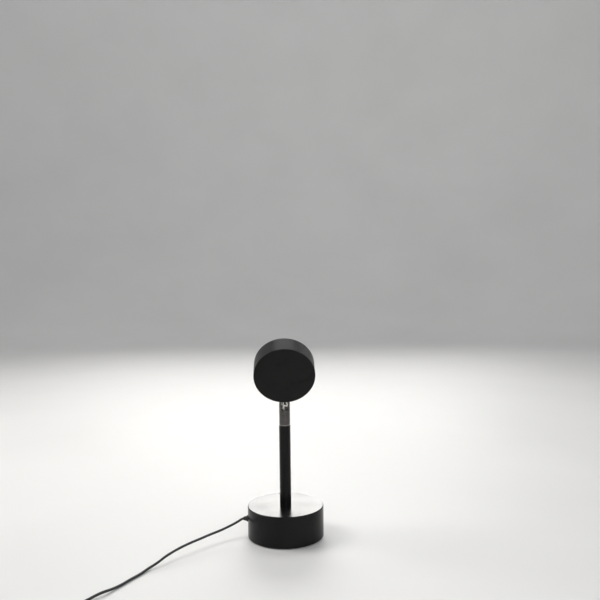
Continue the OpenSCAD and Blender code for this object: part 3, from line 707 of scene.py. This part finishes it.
gland = lathe(profile([(1.3, -3.5, 0.1), (3.4, -3.5, 0.25), (3.4, -2.3, 0.2), (2.55, -2.3), (2.55, 0), (3.4, 0, 0.1), (3.15, 1.3, 0.45),
                       (2.5, 1.35, 0.35), (2.28, 2.25, 0.1), (2.42, 2.45, 0.12), (2.38, 2.85, 0.12), (2.1, 3.05, 0.1), (2.0, 3.4, 0.1),
                       (2.08, 3.6, 0.1), (2.04, 3.95, 0.1), (1.86, 4.15, 0.1), (1.78, 4.8, 0.15), (1.55, 4.8, 0.08), (1.3, 3.4, 0.3)], hold=0.08), 56)
piece(gland, "cable_gland_rubber", shift(-40, 0, 18.4) @ turn("Y", -90), "base", RUBBER, ["cable_gland"])

# ------------------------------------------------------------------ stem and bush

stem = lathe(profile([(5, 33), (6, 33), (6, 117.2, 0.18, 1), (5, 117.2, 0.08)], step=6), 128)
piece(stem, "stem_tube_coated", WORLD, "base", BLACK, ["stem_tube"])

bush = lathe(profile([(3.8, -10, 0.2), (5, -10, 0.2), (5, 0), (5.85, 0, 0.06), (5.85, 0.8, 0.2), (3.8, 0.8, 0.1)], hold=0.1), 128)
piece(bush, "top_bush_turned", shift(0, 0, 117.2), "base", NECK_METAL, ["top_bush"])

thrust = lathe(profile([(3.85, 0, 0.08), (5.1, 0, 0.1), (5.1, 0.5, 0.1), (3.85, 0.5, 0.08)], hold=0.06), 112)
piece(thrust, "thrust_washer_nylon", NECK @ shift(0, 0, 118.05), "neck", NYLON, ["thrust_washer"])

# ------------------------------------------------------------------ neck

outline = [(-5.7, 118.55), (5.7, 118.55)] + [(5.7 * math.cos(math.radians(a)), 142 + 5.7 * math.sin(math.radians(a))) for a in range(0, 181, 3)]
ears = moved(prism(subdivided(outline, 1.0), -10, 10), Matrix(((0, 0, 1, 0), (1, 0, 0, 0), (0, 1, 0, 0), (0, 0, 0, 1))))
fork = lathe(profile([(0, 118.55), (5.7, 118.55), (5.7, 150), (0, 150)], closed=False, hold=0, step=40), 128, closed=False)
moved(fork, Matrix.Rotation(math.pi / 128, 4, "Z"))
keep(fork, ears)
add(fork, rod(3.75, 103.4, 121, 64))
cut(fork, block(-3.3, -10, 138.1, 3.3, 10, 168.1))
cut(fork, block(-3.3, -10, 133.5, 3.3, 3.3, 153.5))
cut(fork, rod(2, 90, 150, 40))
cut(fork, moved(rod(1.55, -10, 10, 36), in_mm(shift(0, 0, 142) @ ALONG_X)))
cut(fork, moved(rod(2.85, 4.4, 10.4, 56), in_mm(shift(0, 0, 142) @ ALONG_X)))
cut(fork, lathe([(3.1, 105.3, 0), (6, 105.3, 0), (6, 106.3, 0), (3.1, 106.3, 0)], 64))
softened(fork, 0.09)
piece(fork, "neck_fork_turned", NECK, "neck", NECK_METAL, ["neck_fork"])

# the pivot: a screw with a hex socket, sunk in the right ear and threaded in the left one
screw = lathe(profile([(0, 5.6), (2.45, 5.6, 0.3), (2.65, 4.4, 0.12), (1.5, 4.4, 0.1), (1.5, -5.0, 0.1), (1.2, -5.3, 0.1), (0, -5.3)], closed=False, hold=0.1, step=1.2), 64, closed=False)
cut(screw, prism(hexagon(1.15), 4.8, 6.8))
softened(screw, 0.05, 40)
piece(screw, "pivot_screw_socket", NECK @ shift(0, 0, 142) @ ALONG_X, "neck", OXIDE, ["pivot_screw"])

for k, x in enumerate((-3.25, 2.75)):
    w = lathe(profile([(1.6, 0, 0.08), (3.4, 0, 0.12), (3.4, 0.5, 0.12), (1.6, 0.5, 0.08)], hold=0.06), 64)
    piece(w, f"friction_washer_{k + 1}", NECK @ shift(x, 0, 142) @ ALONG_X, "neck", NYLON, ["friction_washers"])


# ------------------------------------------------------------------ wires across the tilt joint and inside the head

def beside(line, k, turns, radius):
    """One wire of a twisted pair: the line that winds round another one."""
    out = []
    for i, p in enumerate(line):
        t = line[min(i + 1, len(line) - 1)] - line[max(i - 1, 0)]
        t = t / np.linalg.norm(t)
        u = np.cross((1.0, 0.0, 0.0), t)
        u = u / np.linalg.norm(u)
        v = np.cross(t, u)
        a = math.radians(270 - 180 * k) + 2 * math.pi * turns * i / (len(line) - 1)
        out.append(p + radius * math.cos(a) * u + radius * math.sin(a) * v)
    return out


def wire_mesh(line, radius, sides=16):
    """A round wire. Its cross-section is carried along the line without turning, and both ends are capped flat."""
    t = line[1] - line[0]
    t = t / np.linalg.norm(t)
    u = np.cross((0.3, 1.0, 0.1), t)
    rows = []
    for i, p in enumerate(line):
        t = line[min(i + 1, len(line) - 1)] - line[max(i - 1, 0)]
        t = t / np.linalg.norm(t)
        u = u - t * float(u @ t)
        u = u / np.linalg.norm(u)
        v = np.cross(t, u)
        rows.append([tuple(p + radius * (math.cos(2 * math.pi * k / sides) * u + math.sin(2 * math.pi * k / sides) * v)) for k in range(sides)])
    return loft(rows)


def tracer(ob, sides=16):
    """Marks the faces of a wire's polarity stripe."""
    n = len(ob.data.vertices) // sides
    a = ob.data.attributes.new("stripe", "FLOAT", "POINT")
    a.data.foreach_set("value", [1.0 if k in (0, 1, 15) else 0.0 for _ in range(n) for k in range(sides)])


twisted = smooth_line(PAIR, 8)
for k, (tag, rest) in enumerate((("left", LEFT), ("right", RIGHT))):
    start = beside(twisted, k, 1.0, 0.66)
    # the wire's own way goes on from the twist in one smooth curve
    lead_in = [tuple(start[-9]), tuple(start[-5]), tuple(start[-1])]
    line = start[:-1] + smooth_line(lead_in + rest, 8)[16:]
    w = wire_mesh(line, 0.6)
    if k:
        tracer(w)
    clean_up(w)
    w.name = w.data.name = f"hinge_wire_{tag}"
    w.data.polygons.foreach_set("use_smooth", [True] * len(w.data.polygons))
    w.data.set_sharp_from_angle(angle=math.radians(50))
    w.data.transform(NECK @ Matrix.Scale(MM, 4))
    w.data.materials.append(WIRE)
    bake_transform(w)
    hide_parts("hinge_wires")
    x = wire_mesh([q + np.array((0.68 * (1 if k else -1), 0, 0)) for q in smooth_line(LED, 5)], 0.6)
    if k:
        tracer(x)
    piece(x, f"led_lead_{tag}", HEAD, "head", WIRE, ["led_leads"], sharp=50, weighted=False)


# ------------------------------------------------------------------ head

head = lathe(profile([(0, 0), (31, 0, 0.22, 1), (31.5, 0.5, 0.22, 1), (31.5, 23.1, 0.18, 1), (31.1, 23.5, 0.18, 1), (29.9, 23.5, 0.15, 1),
                      (29.9, 2, 0.4), (0, 2)], closed=False, hold=0.3, step=1.6), 224, closed=False)
bosses = []
for a in (30, 150, 270):
    b = lathe([(0, 1.2, 0), (3, 1.2, 0), (3, 4, 0), (0, 4, 0)], 36, closed=False)
    bosses.append(moved(b, in_mm(turn("Z", a) @ shift(22, 0, 0))))
add(head, *bosses)
cut(head, *[moved(rod(1, 1, 6, 24), in_mm(turn("Z", a) @ shift(22, 0, 0))) for a in (30, 150, 270)])
moved(head, in_mm(BEAM_IN_HEAD))
cut(head, block(-2.85, -3.75, 4, 2.85, 3.75, 12))
cut(head, moved(rod(2.1, 4, 12, 32), in_mm(shift(0, -7.1, 0))))
for s in (-1, 1):
    place = in_mm(shift(0, 0, 38.5) @ turn("Y", s * 14.5) @ shift(0, 0, -32.5))
    cut(head, moved(lathe([(0, 0, 0), (2.8, 0, 0), (2.8, 0.6, 0), (1.3, 2.2, 0), (1.3, 6, 0), (0, 6, 0)], 48, closed=False), place))
piece(head, "head_shell_coated", HEAD, "head", HEAD_BLACK, ["head_shell"])

tongue = [(3.6 * math.cos(math.radians(a)), 3.6 * math.sin(math.radians(a))) for a in range(180, 361, 5)]
tongue = [(-3.6, 10.0)] + tongue + [(3.6, 10.0)]
lug = moved(prism(tongue, -2.7, 2.7), Matrix(((0, 0, 1, 0), (1, 0, 0, 0), (0, 1, 0, 0), (0, 0, 0, 1))))
plate = moved(lathe([(27.9, 0, 0), (29.9, 0, 0), (29.9, 8, 0), (27.9, 8, 0)], 160), in_mm(shift(0, 4, 38.5) @ turn("X", 90)))
keep(plate, block(-11, -5, 5, 11, 5, 17))
add(lug, plate)
cut(lug, moved(rod(1.55, -10, 10, 36), in_mm(ALONG_X)))
for s in (-1, 1):
    cut(lug, moved(rod(1.05, 0, 6, 28), in_mm(shift(0, 0, 38.5) @ turn("Y", s * 14.5) @ shift(0, 0, -31.5))))
softened(lug, 0.2, 35)
piece(lug, "head_lug_forged", HEAD, "head", OXIDE, ["head_lug"])

for k, s in enumerate((-1, 1)):
    b = lathe(profile([(0, 0.15), (2.2, 0.15, 0.1), (1.02, 1.3, 0.1), (1.02, 4.0, 0.2), (0, 4.0)], closed=False, hold=0.1), 56, closed=False)
    cut(b, prism(hexagon(0.85), -0.5, 0.8))
    softened(b, 0.04, 40)
    piece(b, f"lug_screw_{k + 1}", HEAD @ shift(0, 0, 38.5) @ turn("Y", s * 14.5) @ shift(0, 0, -31.5), "head", OXIDE, ["lug_screws"])

grommet = lathe(profile([(1.45, 6.25, 0.2), (2.55, 6.25, 0.3), (2.95, 6.95, 0.12), (2.05, 6.95), (2.05, 8.8), (2.5, 8.8, 0.15), (2.5, 9.6, 0.3), (1.45, 9.6, 0.2)], hold=0.08), 48)
piece(grommet, "head_grommet_rubber", HEAD @ shift(0, -7.1, 0), "head", RUBBER, ["head_grommet"])

bezel = lathe(profile([(29.85, 18.05, 0.1), (29.85, 23.2, 0.15, 1), (29.45, 23.4, 0.15, 1), (27.5, 23.4, 0.2, 1), (25.3, 20.9, 0.25, 1), (25.3, 18.05, 0.1)], hold=0.15, step=1), 192)
cut(bezel, *[moved(block(25, -1.2, 21.9, 28.2, 1.2, 25), in_mm(turn("Z", a))) for a in (0, 180)])
piece(bezel, "lens_bezel_anodised", BEAM, "head", BEZEL_BLACK, ["lens_bezel"])

arc = [(63.75 * math.sin(math.asin(26.85 / 63.75) * k / 44), 0) for k in range(44, -1, -1)]
dome = [(r, -41.75 + math.sqrt(63.75 ** 2 - r * r), 0) for r, _ in arc]
lens = lathe([(0, 13, 0), (9, 13, 0), (18, 13, 0), (26.6, 13, 0), (26.85, 13.03, 0), (26.97, 13.15, 0), (27, 13.3, 0), (27, 14.4, 0), (27, 15.75, 0), (26.96, 15.95, 0)] + dome, 192, closed=False)
piece(lens, "projection_lens_glass", BEAM, "head", GLASS, ["projection_lens"], weighted=False)

# ------------------------------------------------------------------ in-line switch

def case_section(z, inset, w=54.0, d=18.0, r=6.0):
    return [(x, y, z) for x, y in subdivided_outline(w - 2 * inset, d - 2 * inset, max(r - inset, 0.8))]


def subdivided_outline(w, d, r, n=14, along=14, across=2):
    """A rounded rectangle with the same count of points whatever its size."""
    out = []
    corners = ((w / 2 - r, d / 2 - r, 0), (-w / 2 + r, d / 2 - r, 90), (-w / 2 + r, -d / 2 + r, 180), (w / 2 - r, -d / 2 + r, 270))
    for i, (cx, cy, a0) in enumerate(corners):
        for k in range(n + 1):
            a = math.radians(a0 + 90 * k / n)
            out.append((cx + r * math.cos(a), cy + r * math.sin(a)))
        nx, ny, na = corners[(i + 1) % 4]
        a = math.radians(a0 + 90)
        p = out[-1]
        q = (nx + r * math.cos(a), ny + r * math.sin(a))
        count = along if i % 2 == 0 else across
        out += [(p[0] + (q[0] - p[0]) * j / count, p[1] + (q[1] - p[1]) * j / count) for j in range(1, count)]
    return out


def quarter(radius, steps, z_edge, up):
    """(z, inset) along a rounded edge that starts on the side wall and ends on the flat face at z_edge."""
    out = []
    for k in range(steps + 1):
        a = math.pi / 2 * k / steps
        dz = radius * (1 - math.sin(a))
        out.append((z_edge - dz if up else z_edge + dz, radius * (1 - math.cos(a))))
    return out


rows = [(0, 1.4)] + [(z, i) for z, i in reversed(quarter(0.7, 5, 0, False))] + [(1.1, 0), (3.2, 0), (5.5, 0), (5.8, 0), (5.95, 0.02), (6.03, 0.1), (6.06, 0.22), (6.06, 0.5), (6.2, 0.5), (6.2, 1.5), (3.5, 1.5), (1.5, 1.5)]
bottom = loft([case_section(z, i) for z, i in rows], wear=[1 if 0 < z < 0.7 else 0 for z, i in rows])
posts = [rod(2.2, 1, 6.1, 32), rod(2.2, 1, 6.1, 32)]
moved(posts[0], Matrix.Translation((17, 5, 0)))
moved(posts[1], Matrix.Translation((-17, -5, 0)))
add(bottom, *posts, *[block(s * 10.2 - 0.8, -6, 1, s * 10.2 + 0.8, 6, 4.2) for s in (-1, 1)])
cut(bottom, moved(rod(2.4, -40, 40, 40), in_mm(shift(0, 0, 6.2) @ ALONG_X)))
for s in (-1, 1):
    hole = lathe([(0, -1, 0), (2.25, -1, 0), (2.25, -0.02, 0), (1.1, 1.25, 0), (1.1, 7.5, 0), (0, 7.5, 0)], 40, closed=False)
    cut(bottom, moved(hole, Matrix.Translation((s * 17, s * 5, 0))))
piece(bottom, "switch_case_lower", SWITCH, "base", PLASTIC, ["switch_case_bottom"])

rows = [(11.0, 1.5), (8.5, 1.5), (6.2, 1.5), (6.2, 0.5), (6.34, 0.5), (6.34, 0.22), (6.37, 0.1), (6.45, 0.02), (6.6, 0), (6.9, 0), (8.8, 0), (10.2, 0)]
rows += quarter(1.5, 8, 12.4, True) + [(12.4, 1.9)]
top = loft([case_section(z, i) for z, i in rows], wear=[1 if 11.2 < z < 12.35 and i < 1.45 else 0 for z, i in rows])
collar = lathe(profile([(0, 11.2), (7, 11.2), (7, 12.9, 0.45, 1), (5.2, 12.9, 0.3, 1), (5.2, 12.3), (0, 12.3)], closed=False, hold=0.12), 96, closed=False)
posts = [moved(rod(2.2, 6.3, 11.8, 32), Matrix.Translation((17, 5, 0))), moved(rod(2.2, 6.3, 11.8, 32), Matrix.Translation((-17, -5, 0)))]
add(top, collar, *posts)
cut(top, rod(5.2, 8, 16, 96))
cut(top, moved(rod(2.4, -40, 40, 40), in_mm(shift(0, 0, 6.2) @ ALONG_X)))
cut(top, moved(rod(0.9, 5, 10.6, 24), Matrix.Translation((17, 5, 0))), moved(rod(0.9, 5, 10.6, 24), Matrix.Translation((-17, -5, 0))))
piece(top, "switch_case_upper", SWITCH, "base", PLASTIC, ["switch_case_top"])

dish = [(r, 14.12 + 0.38 * (r / 4.1) ** 2, 0) for r in (0, 0.7, 1.4, 2.1, 2.8, 3.5, 4.1)]
rim = [(4.1 + 0.9 * math.sin(math.radians(a)), 13.6 + 0.9 * math.cos(math.radians(a)), 0) for a in range(9, 91, 9)]
cap = dish + rim + [(5, 12.9, 0), (5, 11.4, 0), (5, 11.05, 0), (5.1, 10.95, 0), (5.95, 10.95, 0), (6.1, 10.8, 0), (6.1, 10.05, 0), (5.95, 9.9, 0), (1.6, 9.9, 0), (1.4, 9.7, 0), (1.4, 6.35, 0), (1.25, 6.2, 0), (0, 6.2, 0)]
button = lathe(cap, 96, closed=False)
piece(button, "switch_button_cap", SWITCH, "button", BUTTON, ["switch_button"], weighted=False)

# the spring under the button: its lower end rests on the case, its upper end sits under the button
coils = [np.array((2.4 * math.cos(2 * math.pi * 3 * k / 108), 2.4 * math.sin(2 * math.pi * 3 * k / 108), 6.75 + 2.9 * k / 108)) for k in range(109)]
spring = wire_mesh(coils, 0.2, 10)
clean_up(spring)
spring.name = spring.data.name = "switch_spring_coils"
spring.data.polygons.foreach_set("use_smooth", [True] * len(spring.data.polygons))
spring.data.set_sharp_from_angle(angle=math.radians(50))
spring.data.transform(SWITCH @ Matrix.Scale(MM, 4))
spring.data.materials.append(ZINC)
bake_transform(spring)
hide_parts("switch_spring")


def boot_profile():
    line = [(1.3, 0, 0.1), (3.2, 0, 0.2), (3.2, 1.1, 0.2), (2.35, 1.1, 0.05), (2.35, 2.75, 0.05), (3.2, 2.75, 0.15), (3.2, 3.75, 0.35)]
    for k in range(3):
        z = 4.6 + 1.9 * k
        r = 2.75 - 0.2 * k
        low = 2.58 - 0.28 * k
        line += [(low - 0.02, z - 0.25, 0.12), (r, z, 0.18), (r, z + 0.8, 0.18), (low - 0.16, z + 1.0, 0.12)]
    return line + [(1.85, 10.5, 0.2), (1.3, 10.5, 0.15)]


for k, s in enumerate((-1, 1)):
    b = lathe(profile(boot_profile(), hold=0.08), 56)
    piece(b, f"switch_boot_{k + 1}", SWITCH @ shift(s * 24.3, 0, 6.2) @ turn("Y", s * 90), "base", RUBBER, ["switch_boots"])

# ------------------------------------------------------------------ plug

def grip_section(x, inset):
    return [(x, y, z) for y, z in subdivided_outline(15.6 - 2 * inset, 7.6 - 2 * inset, 2.2 - 0.6 * min(inset, 1), n=8, along=6, across=2)]


rows = []
for k in range(6):
    a = math.pi / 2 * k / 5
    rows.append((0.9 * (1 - math.sin(a)), 0.9 * (1 - math.cos(a))))
rows = rows[::-1]
rows = [(x, i) for x, i in rows]
x = 1.2
while x < 23.2:
    notch = 0.0
    for c in (5.2, 7.4, 9.6, 11.8):
        d = abs(x - c)
        if d < 0.65:
            notch = max(notch, 0.34 * 0.5 * (1 + math.cos(math.pi * d / 0.65)))
    rows.append((x, notch))
    x += 0.2 if 4.3 < x < 12.7 else 0.9
for k in range(5):
    a = math.pi / 2 * k / 4
    rows.append((24 - 0.5 * (1 - math.sin(a)), 0.5 * (1 - math.cos(a))))
grip = loft([grip_section(x, i) for x, i in rows], wear=[1 if x < 0.8 or x > 23.6 else 0 for x, i in rows])
neckline = profile([(0, -8), (1.9, -8, 0.15)] + [q for k in range(3) for q in (
    (2.0 + 0.42 * k, -6.75 + 2.2 * k, 0.15), (2.55 + 0.4 * k, -6.55 + 2.2 * k, 0.2), (2.6 + 0.4 * k, -5.6 + 2.2 * k, 0.2), (2.2 + 0.4 * k, -5.35 + 2.2 * k, 0.15))]
    + [(3.3, 0.2, 0.1), (3.3, 3), (0, 3)], closed=False, hold=0.08)
boot = moved(lathe(neckline, 56, closed=False), in_mm(ALONG_X))
add(grip, boot)
cut(grip, block(18, -6.1, -2.35, 28, 6.1, 2.35))
cut(grip, moved(rod(1.3, -10, 8.5, 32), in_mm(ALONG_X)))
piece(grip, "plug_grip_moulded", PLUG, "base", PLASTIC, ["plug_grip"], sharp=35)


def shell_section(x, w, d, r):
    return [(x, y, z) for y, z in subdivided_outline(w, d, r, n=6, along=10, across=4)]


xs = [18.1, 22, 26, 30, 34, 38, 42.2]
outer = [shell_section(x, 12, 4.5, 0.6) for x in xs] + [shell_section(42.55, 11.94, 4.44, 0.58), shell_section(42.7, 11.8, 4.3, 0.5)]
inner = [shell_section(42.7, 11.6, 4.1, 0.42), shell_section(42.5, 11.42, 3.92, 0.36)] + [shell_section(x, 11.4, 3.9, 0.35) for x in xs[::-1]]
tin = loft(outer + inner, closed=True)
cut(tin, *[block(30, y - 1.1, -4, 32.6, y + 1.1, 4) for y in (-3.1, 3.1)])
cut(tin, block(18, -0.06, -2.4, 43, 0.06, -2.1))
softened(tin, 0.05, 40, 1)
piece(tin, "plug_shell_folded", PLUG, "base", NICKEL, ["plug_shell"])

tongue = block(18.2, -5.45, -1.85, 41.6, 5.45, -0.05)
cut(tongue, *[block(30.8 + (0 if abs(y) > 2 else 1.2), y - 0.62, -0.22, 40.2, y + 0.62, 1) for y in (-3.5, -1, 1, 3.5)])
softened(tongue, 0.12, 40)
piece(tongue, "plug_tongue_moulded", PLUG, "base", NYLON, ["plug_tongue"])

for k, y in enumerate((-3.5, -1, 1, 3.5)):
    x0 = 31 if abs(y) > 2 else 32.2
    outline = [(x0, y - 0.5), (39.4, y - 0.5), (39.8, y - 0.38), (40, y - 0.15), (40, y + 0.15), (39.8, y + 0.38), (39.4, y + 0.5), (x0, y + 0.5)]
    strip = prism(outline, -0.2, 0.05)
    softened(strip, 0.05, 40)
    piece(strip, f"plug_contact_{k + 1}", PLUG, "base", GOLD, ["plug_contacts"])

# ------------------------------------------------------------------ twist tie round the coil

def tie_band():
    """A flat plastic strip with a wire down its middle, bent once round the coil."""
    w, h = 9.2, 11.2
    rows = []
    loop = subdivided(rounded(w, h, 1.9, 8), 1.2)
    n = len(loop)
    across = [(-2.2, 0.0), (-2.05, 0.12), (-0.6, 0.12), (-0.35, 0.28), (0, 0.36), (0.35, 0.28), (0.6, 0.12), (2.05, 0.12), (2.2, 0.0),
              (2.05, -0.1), (0.6, -0.1), (0, -0.1), (-0.6, -0.1), (-2.05, -0.1)]
    for i, (x, z) in enumerate(loop):
        q, p = loop[(i + 1) % n], loop[i - 1]
        t = np.array((q[0] - p[0], q[1] - p[1]))
        t = t / np.linalg.norm(t)
        out = np.array((t[1], -t[0]))
        rows.append([(x + out[0] * (o - 0.36), y, z + out[1] * (o - 0.36)) for y, o in across])
    return loft(rows, closed=True)


def tie_tail(phase):
    """One of the two strip ends, twisted round each other and splayed at the tips."""
    rows = []
    flat = [(-0.95, 0.0), (-0.85, 0.1), (-0.3, 0.11), (0, 0.3), (0.3, 0.11), (0.85, 0.1), (0.95, 0.0), (0.85, -0.1), (0, -0.12), (-0.85, -0.1)]
    for i in range(49):
        t = i / 48
        x = 4.1 + 9.6 * t
        a = phase + 2 * math.pi * 2.4 * min(t / 0.82, 1.0)
        off = 0.42 + 1.5 * max(0, t - 0.82) / 0.18 * 0.9
        cy, cz = off * math.cos(a), off * math.sin(a)
        u = (-math.sin(a), math.cos(a))
        v = (math.cos(a), math.sin(a))
        rows.append([(x, cy + u[0] * p + v[0] * q, cz + u[1] * p + v[1] * q) for p, q in flat])
    return loft(rows)


TIE = shift(-31, -192, 5.6)
piece(tie_band(), "twist_tie_band", TIE, "base", TIE_PLASTIC, ["cord_tie"], sharp=60, weighted=False)
for k in range(2):
    piece(moved(tie_tail(math.pi * k), Matrix.Translation((0, 0, 3.45))), f"twist_tie_end_{k + 1}", TIE, "base", TIE_PLASTIC, ["cord_tie"], sharp=60, weighted=False)


# ------------------------------------------------------------------ the lead

switch_pieces = [bpy.data.objects[n] for n in ("switch_case_lower", "switch_case_upper", "switch_button_cap", "switch_spring_coils", "switch_boot_1", "switch_boot_2")]
switch_pieces += [nodes[n] for n in ("switch_unit", "switch_screws")]
for ob, names in ((lead_run, ["cord_run"]), (lead_store, ["cord_link", "cord_coil", "cord_tail"])):
    ob.data.materials.append(JACKET)
    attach(ob, "base")
    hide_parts(*names)


# ------------------------------------------------------------------ finishes of the CAD nodes that stay

STAY = {
    "base_plate": ZINC, "base_screws": ZINC, "base_weight": IRON, "cable_clamp": OXIDE, "clamp_screws": ZINC,
    "stem_nipple": BRASS, "stem_washer": ZINC, "lock_washer": ZINC, "stem_nut": ZINC, "inner_lead": JACKET,
    "wave_washer": ZINC, "retaining_clip": ZINC, "neck_lead": JACKET, "mounting_plate": ALUMINIUM,
    "plate_screws": ZINC, "thermal_pad": PAD, "led_board": BOARD, "board_screws": ZINC, "led_emitter": PHOSPHOR,
    "light_tube": TUBE_BLACK, "filter_disc": FILTER, "filter_ring": OXIDE, "lens_gasket": RUBBER,
    "switch_unit": PLASTIC, "switch_screws": ZINC,
}
for name, material in STAY.items():
    ob = nodes[name]
    for s in ob.material_slots:
        s.material = material
    if not ob.material_slots:
        ob.data.materials.append(material)


# ------------------------------------------------------------------ floor, light

def studio():
    """A pale floor that curves up into a pale wall far away all round."""
    n = 128
    line = [(r, 0.0) for r in (0.15, 0.4, 0.8, 1.4, 2.0)]
    line += [(2.0 + 1.4 * math.sin(math.radians(a)), 1.4 - 1.4 * math.cos(math.radians(a))) for a in range(6, 91, 6)]
    line += [(3.4, 2.0), (3.4, 3.0)]
    verts = [(0, 0, 0)] + [(r * math.cos(2 * math.pi * k / n), r * math.sin(2 * math.pi * k / n), z) for r, z in line for k in range(n)]
    faces = [(0, 1 + k, 1 + (k + 1) % n) for k in range(n)]
    for i in range(len(line) - 1):
        a, b = 1 + i * n, 1 + (i + 1) * n
        faces += [(a + k, b + k, b + (k + 1) % n, a + (k + 1) % n) for k in range(n)]
    ob = solid("studio_floor", verts, faces)
    ob.data.polygons.foreach_set("use_smooth", [True] * len(ob.data.polygons))
    f = Finish("studio_floor")
    n = f.noise(3, 3)
    f.colour(f.mix(f.span(n, 0, 1), (0.73, 0.725, 0.715), (0.77, 0.765, 0.755)))
    f.rough(f.span(n, 0.55, 0.65))
    ob.data.materials.append(f.m)


studio()

world = bpy.data.worlds.new("world")
scene.world = world
world.use_nodes = True
background = world.node_tree.nodes["Background"]
background.inputs[0].default_value = (0.95, 0.97, 1.0, 1)
background.inputs[1].default_value = 0.44


def lamp(name, place, target, size, power, tint=(1, 1, 1), spread=180):
    data = bpy.data.lights.new(name, "AREA")
    data.shape = "RECTANGLE"
    data.size, data.size_y = size
    data.energy = power
    data.color = tint
    data.spread = math.radians(spread)
    ob = bpy.data.objects.new(name, data)
    scene.collection.objects.link(ob)
    ob.location = place
    ob.rotation_euler = (Vector(target) - Vector(place)).to_track_quat("-Z", "Y").to_euler()
    ob.visible_camera = False
    return ob


# the main light comes from the side that the lamp faces, as in the photograph
lamp("back", (0.0, 2.2, 0.85), (0, 0, 0.1), (1.6, 0.7), 4.8, (1.0, 0.985, 0.96), 75)
lamp("key", (-1.15, 0.15, 1.25), (0, 0, 0.1), (0.8, 0.8), 12.4, (1.0, 0.98, 0.95))
lamp("top", (0.0, 0.75, 1.5), (0, 0, 0.1), (1.2, 0.6), 5)
lamp("fill", (1.25, -0.9, 0.9), (0, 0, 0.1), (1.0, 1.0), 2.5, (0.95, 0.97, 1.0))
lamp("front", (0.25, -1.3, 0.55), (0, 0, 0.12), (0.4, 0.4), 3.2)
lamp("wall", (0.0, 0.9, 2.6), (0, 3.4, 1.5), (2.6, 0.5), 4.5, spread=110)
scene.view_settings.view_transform = "Standard"
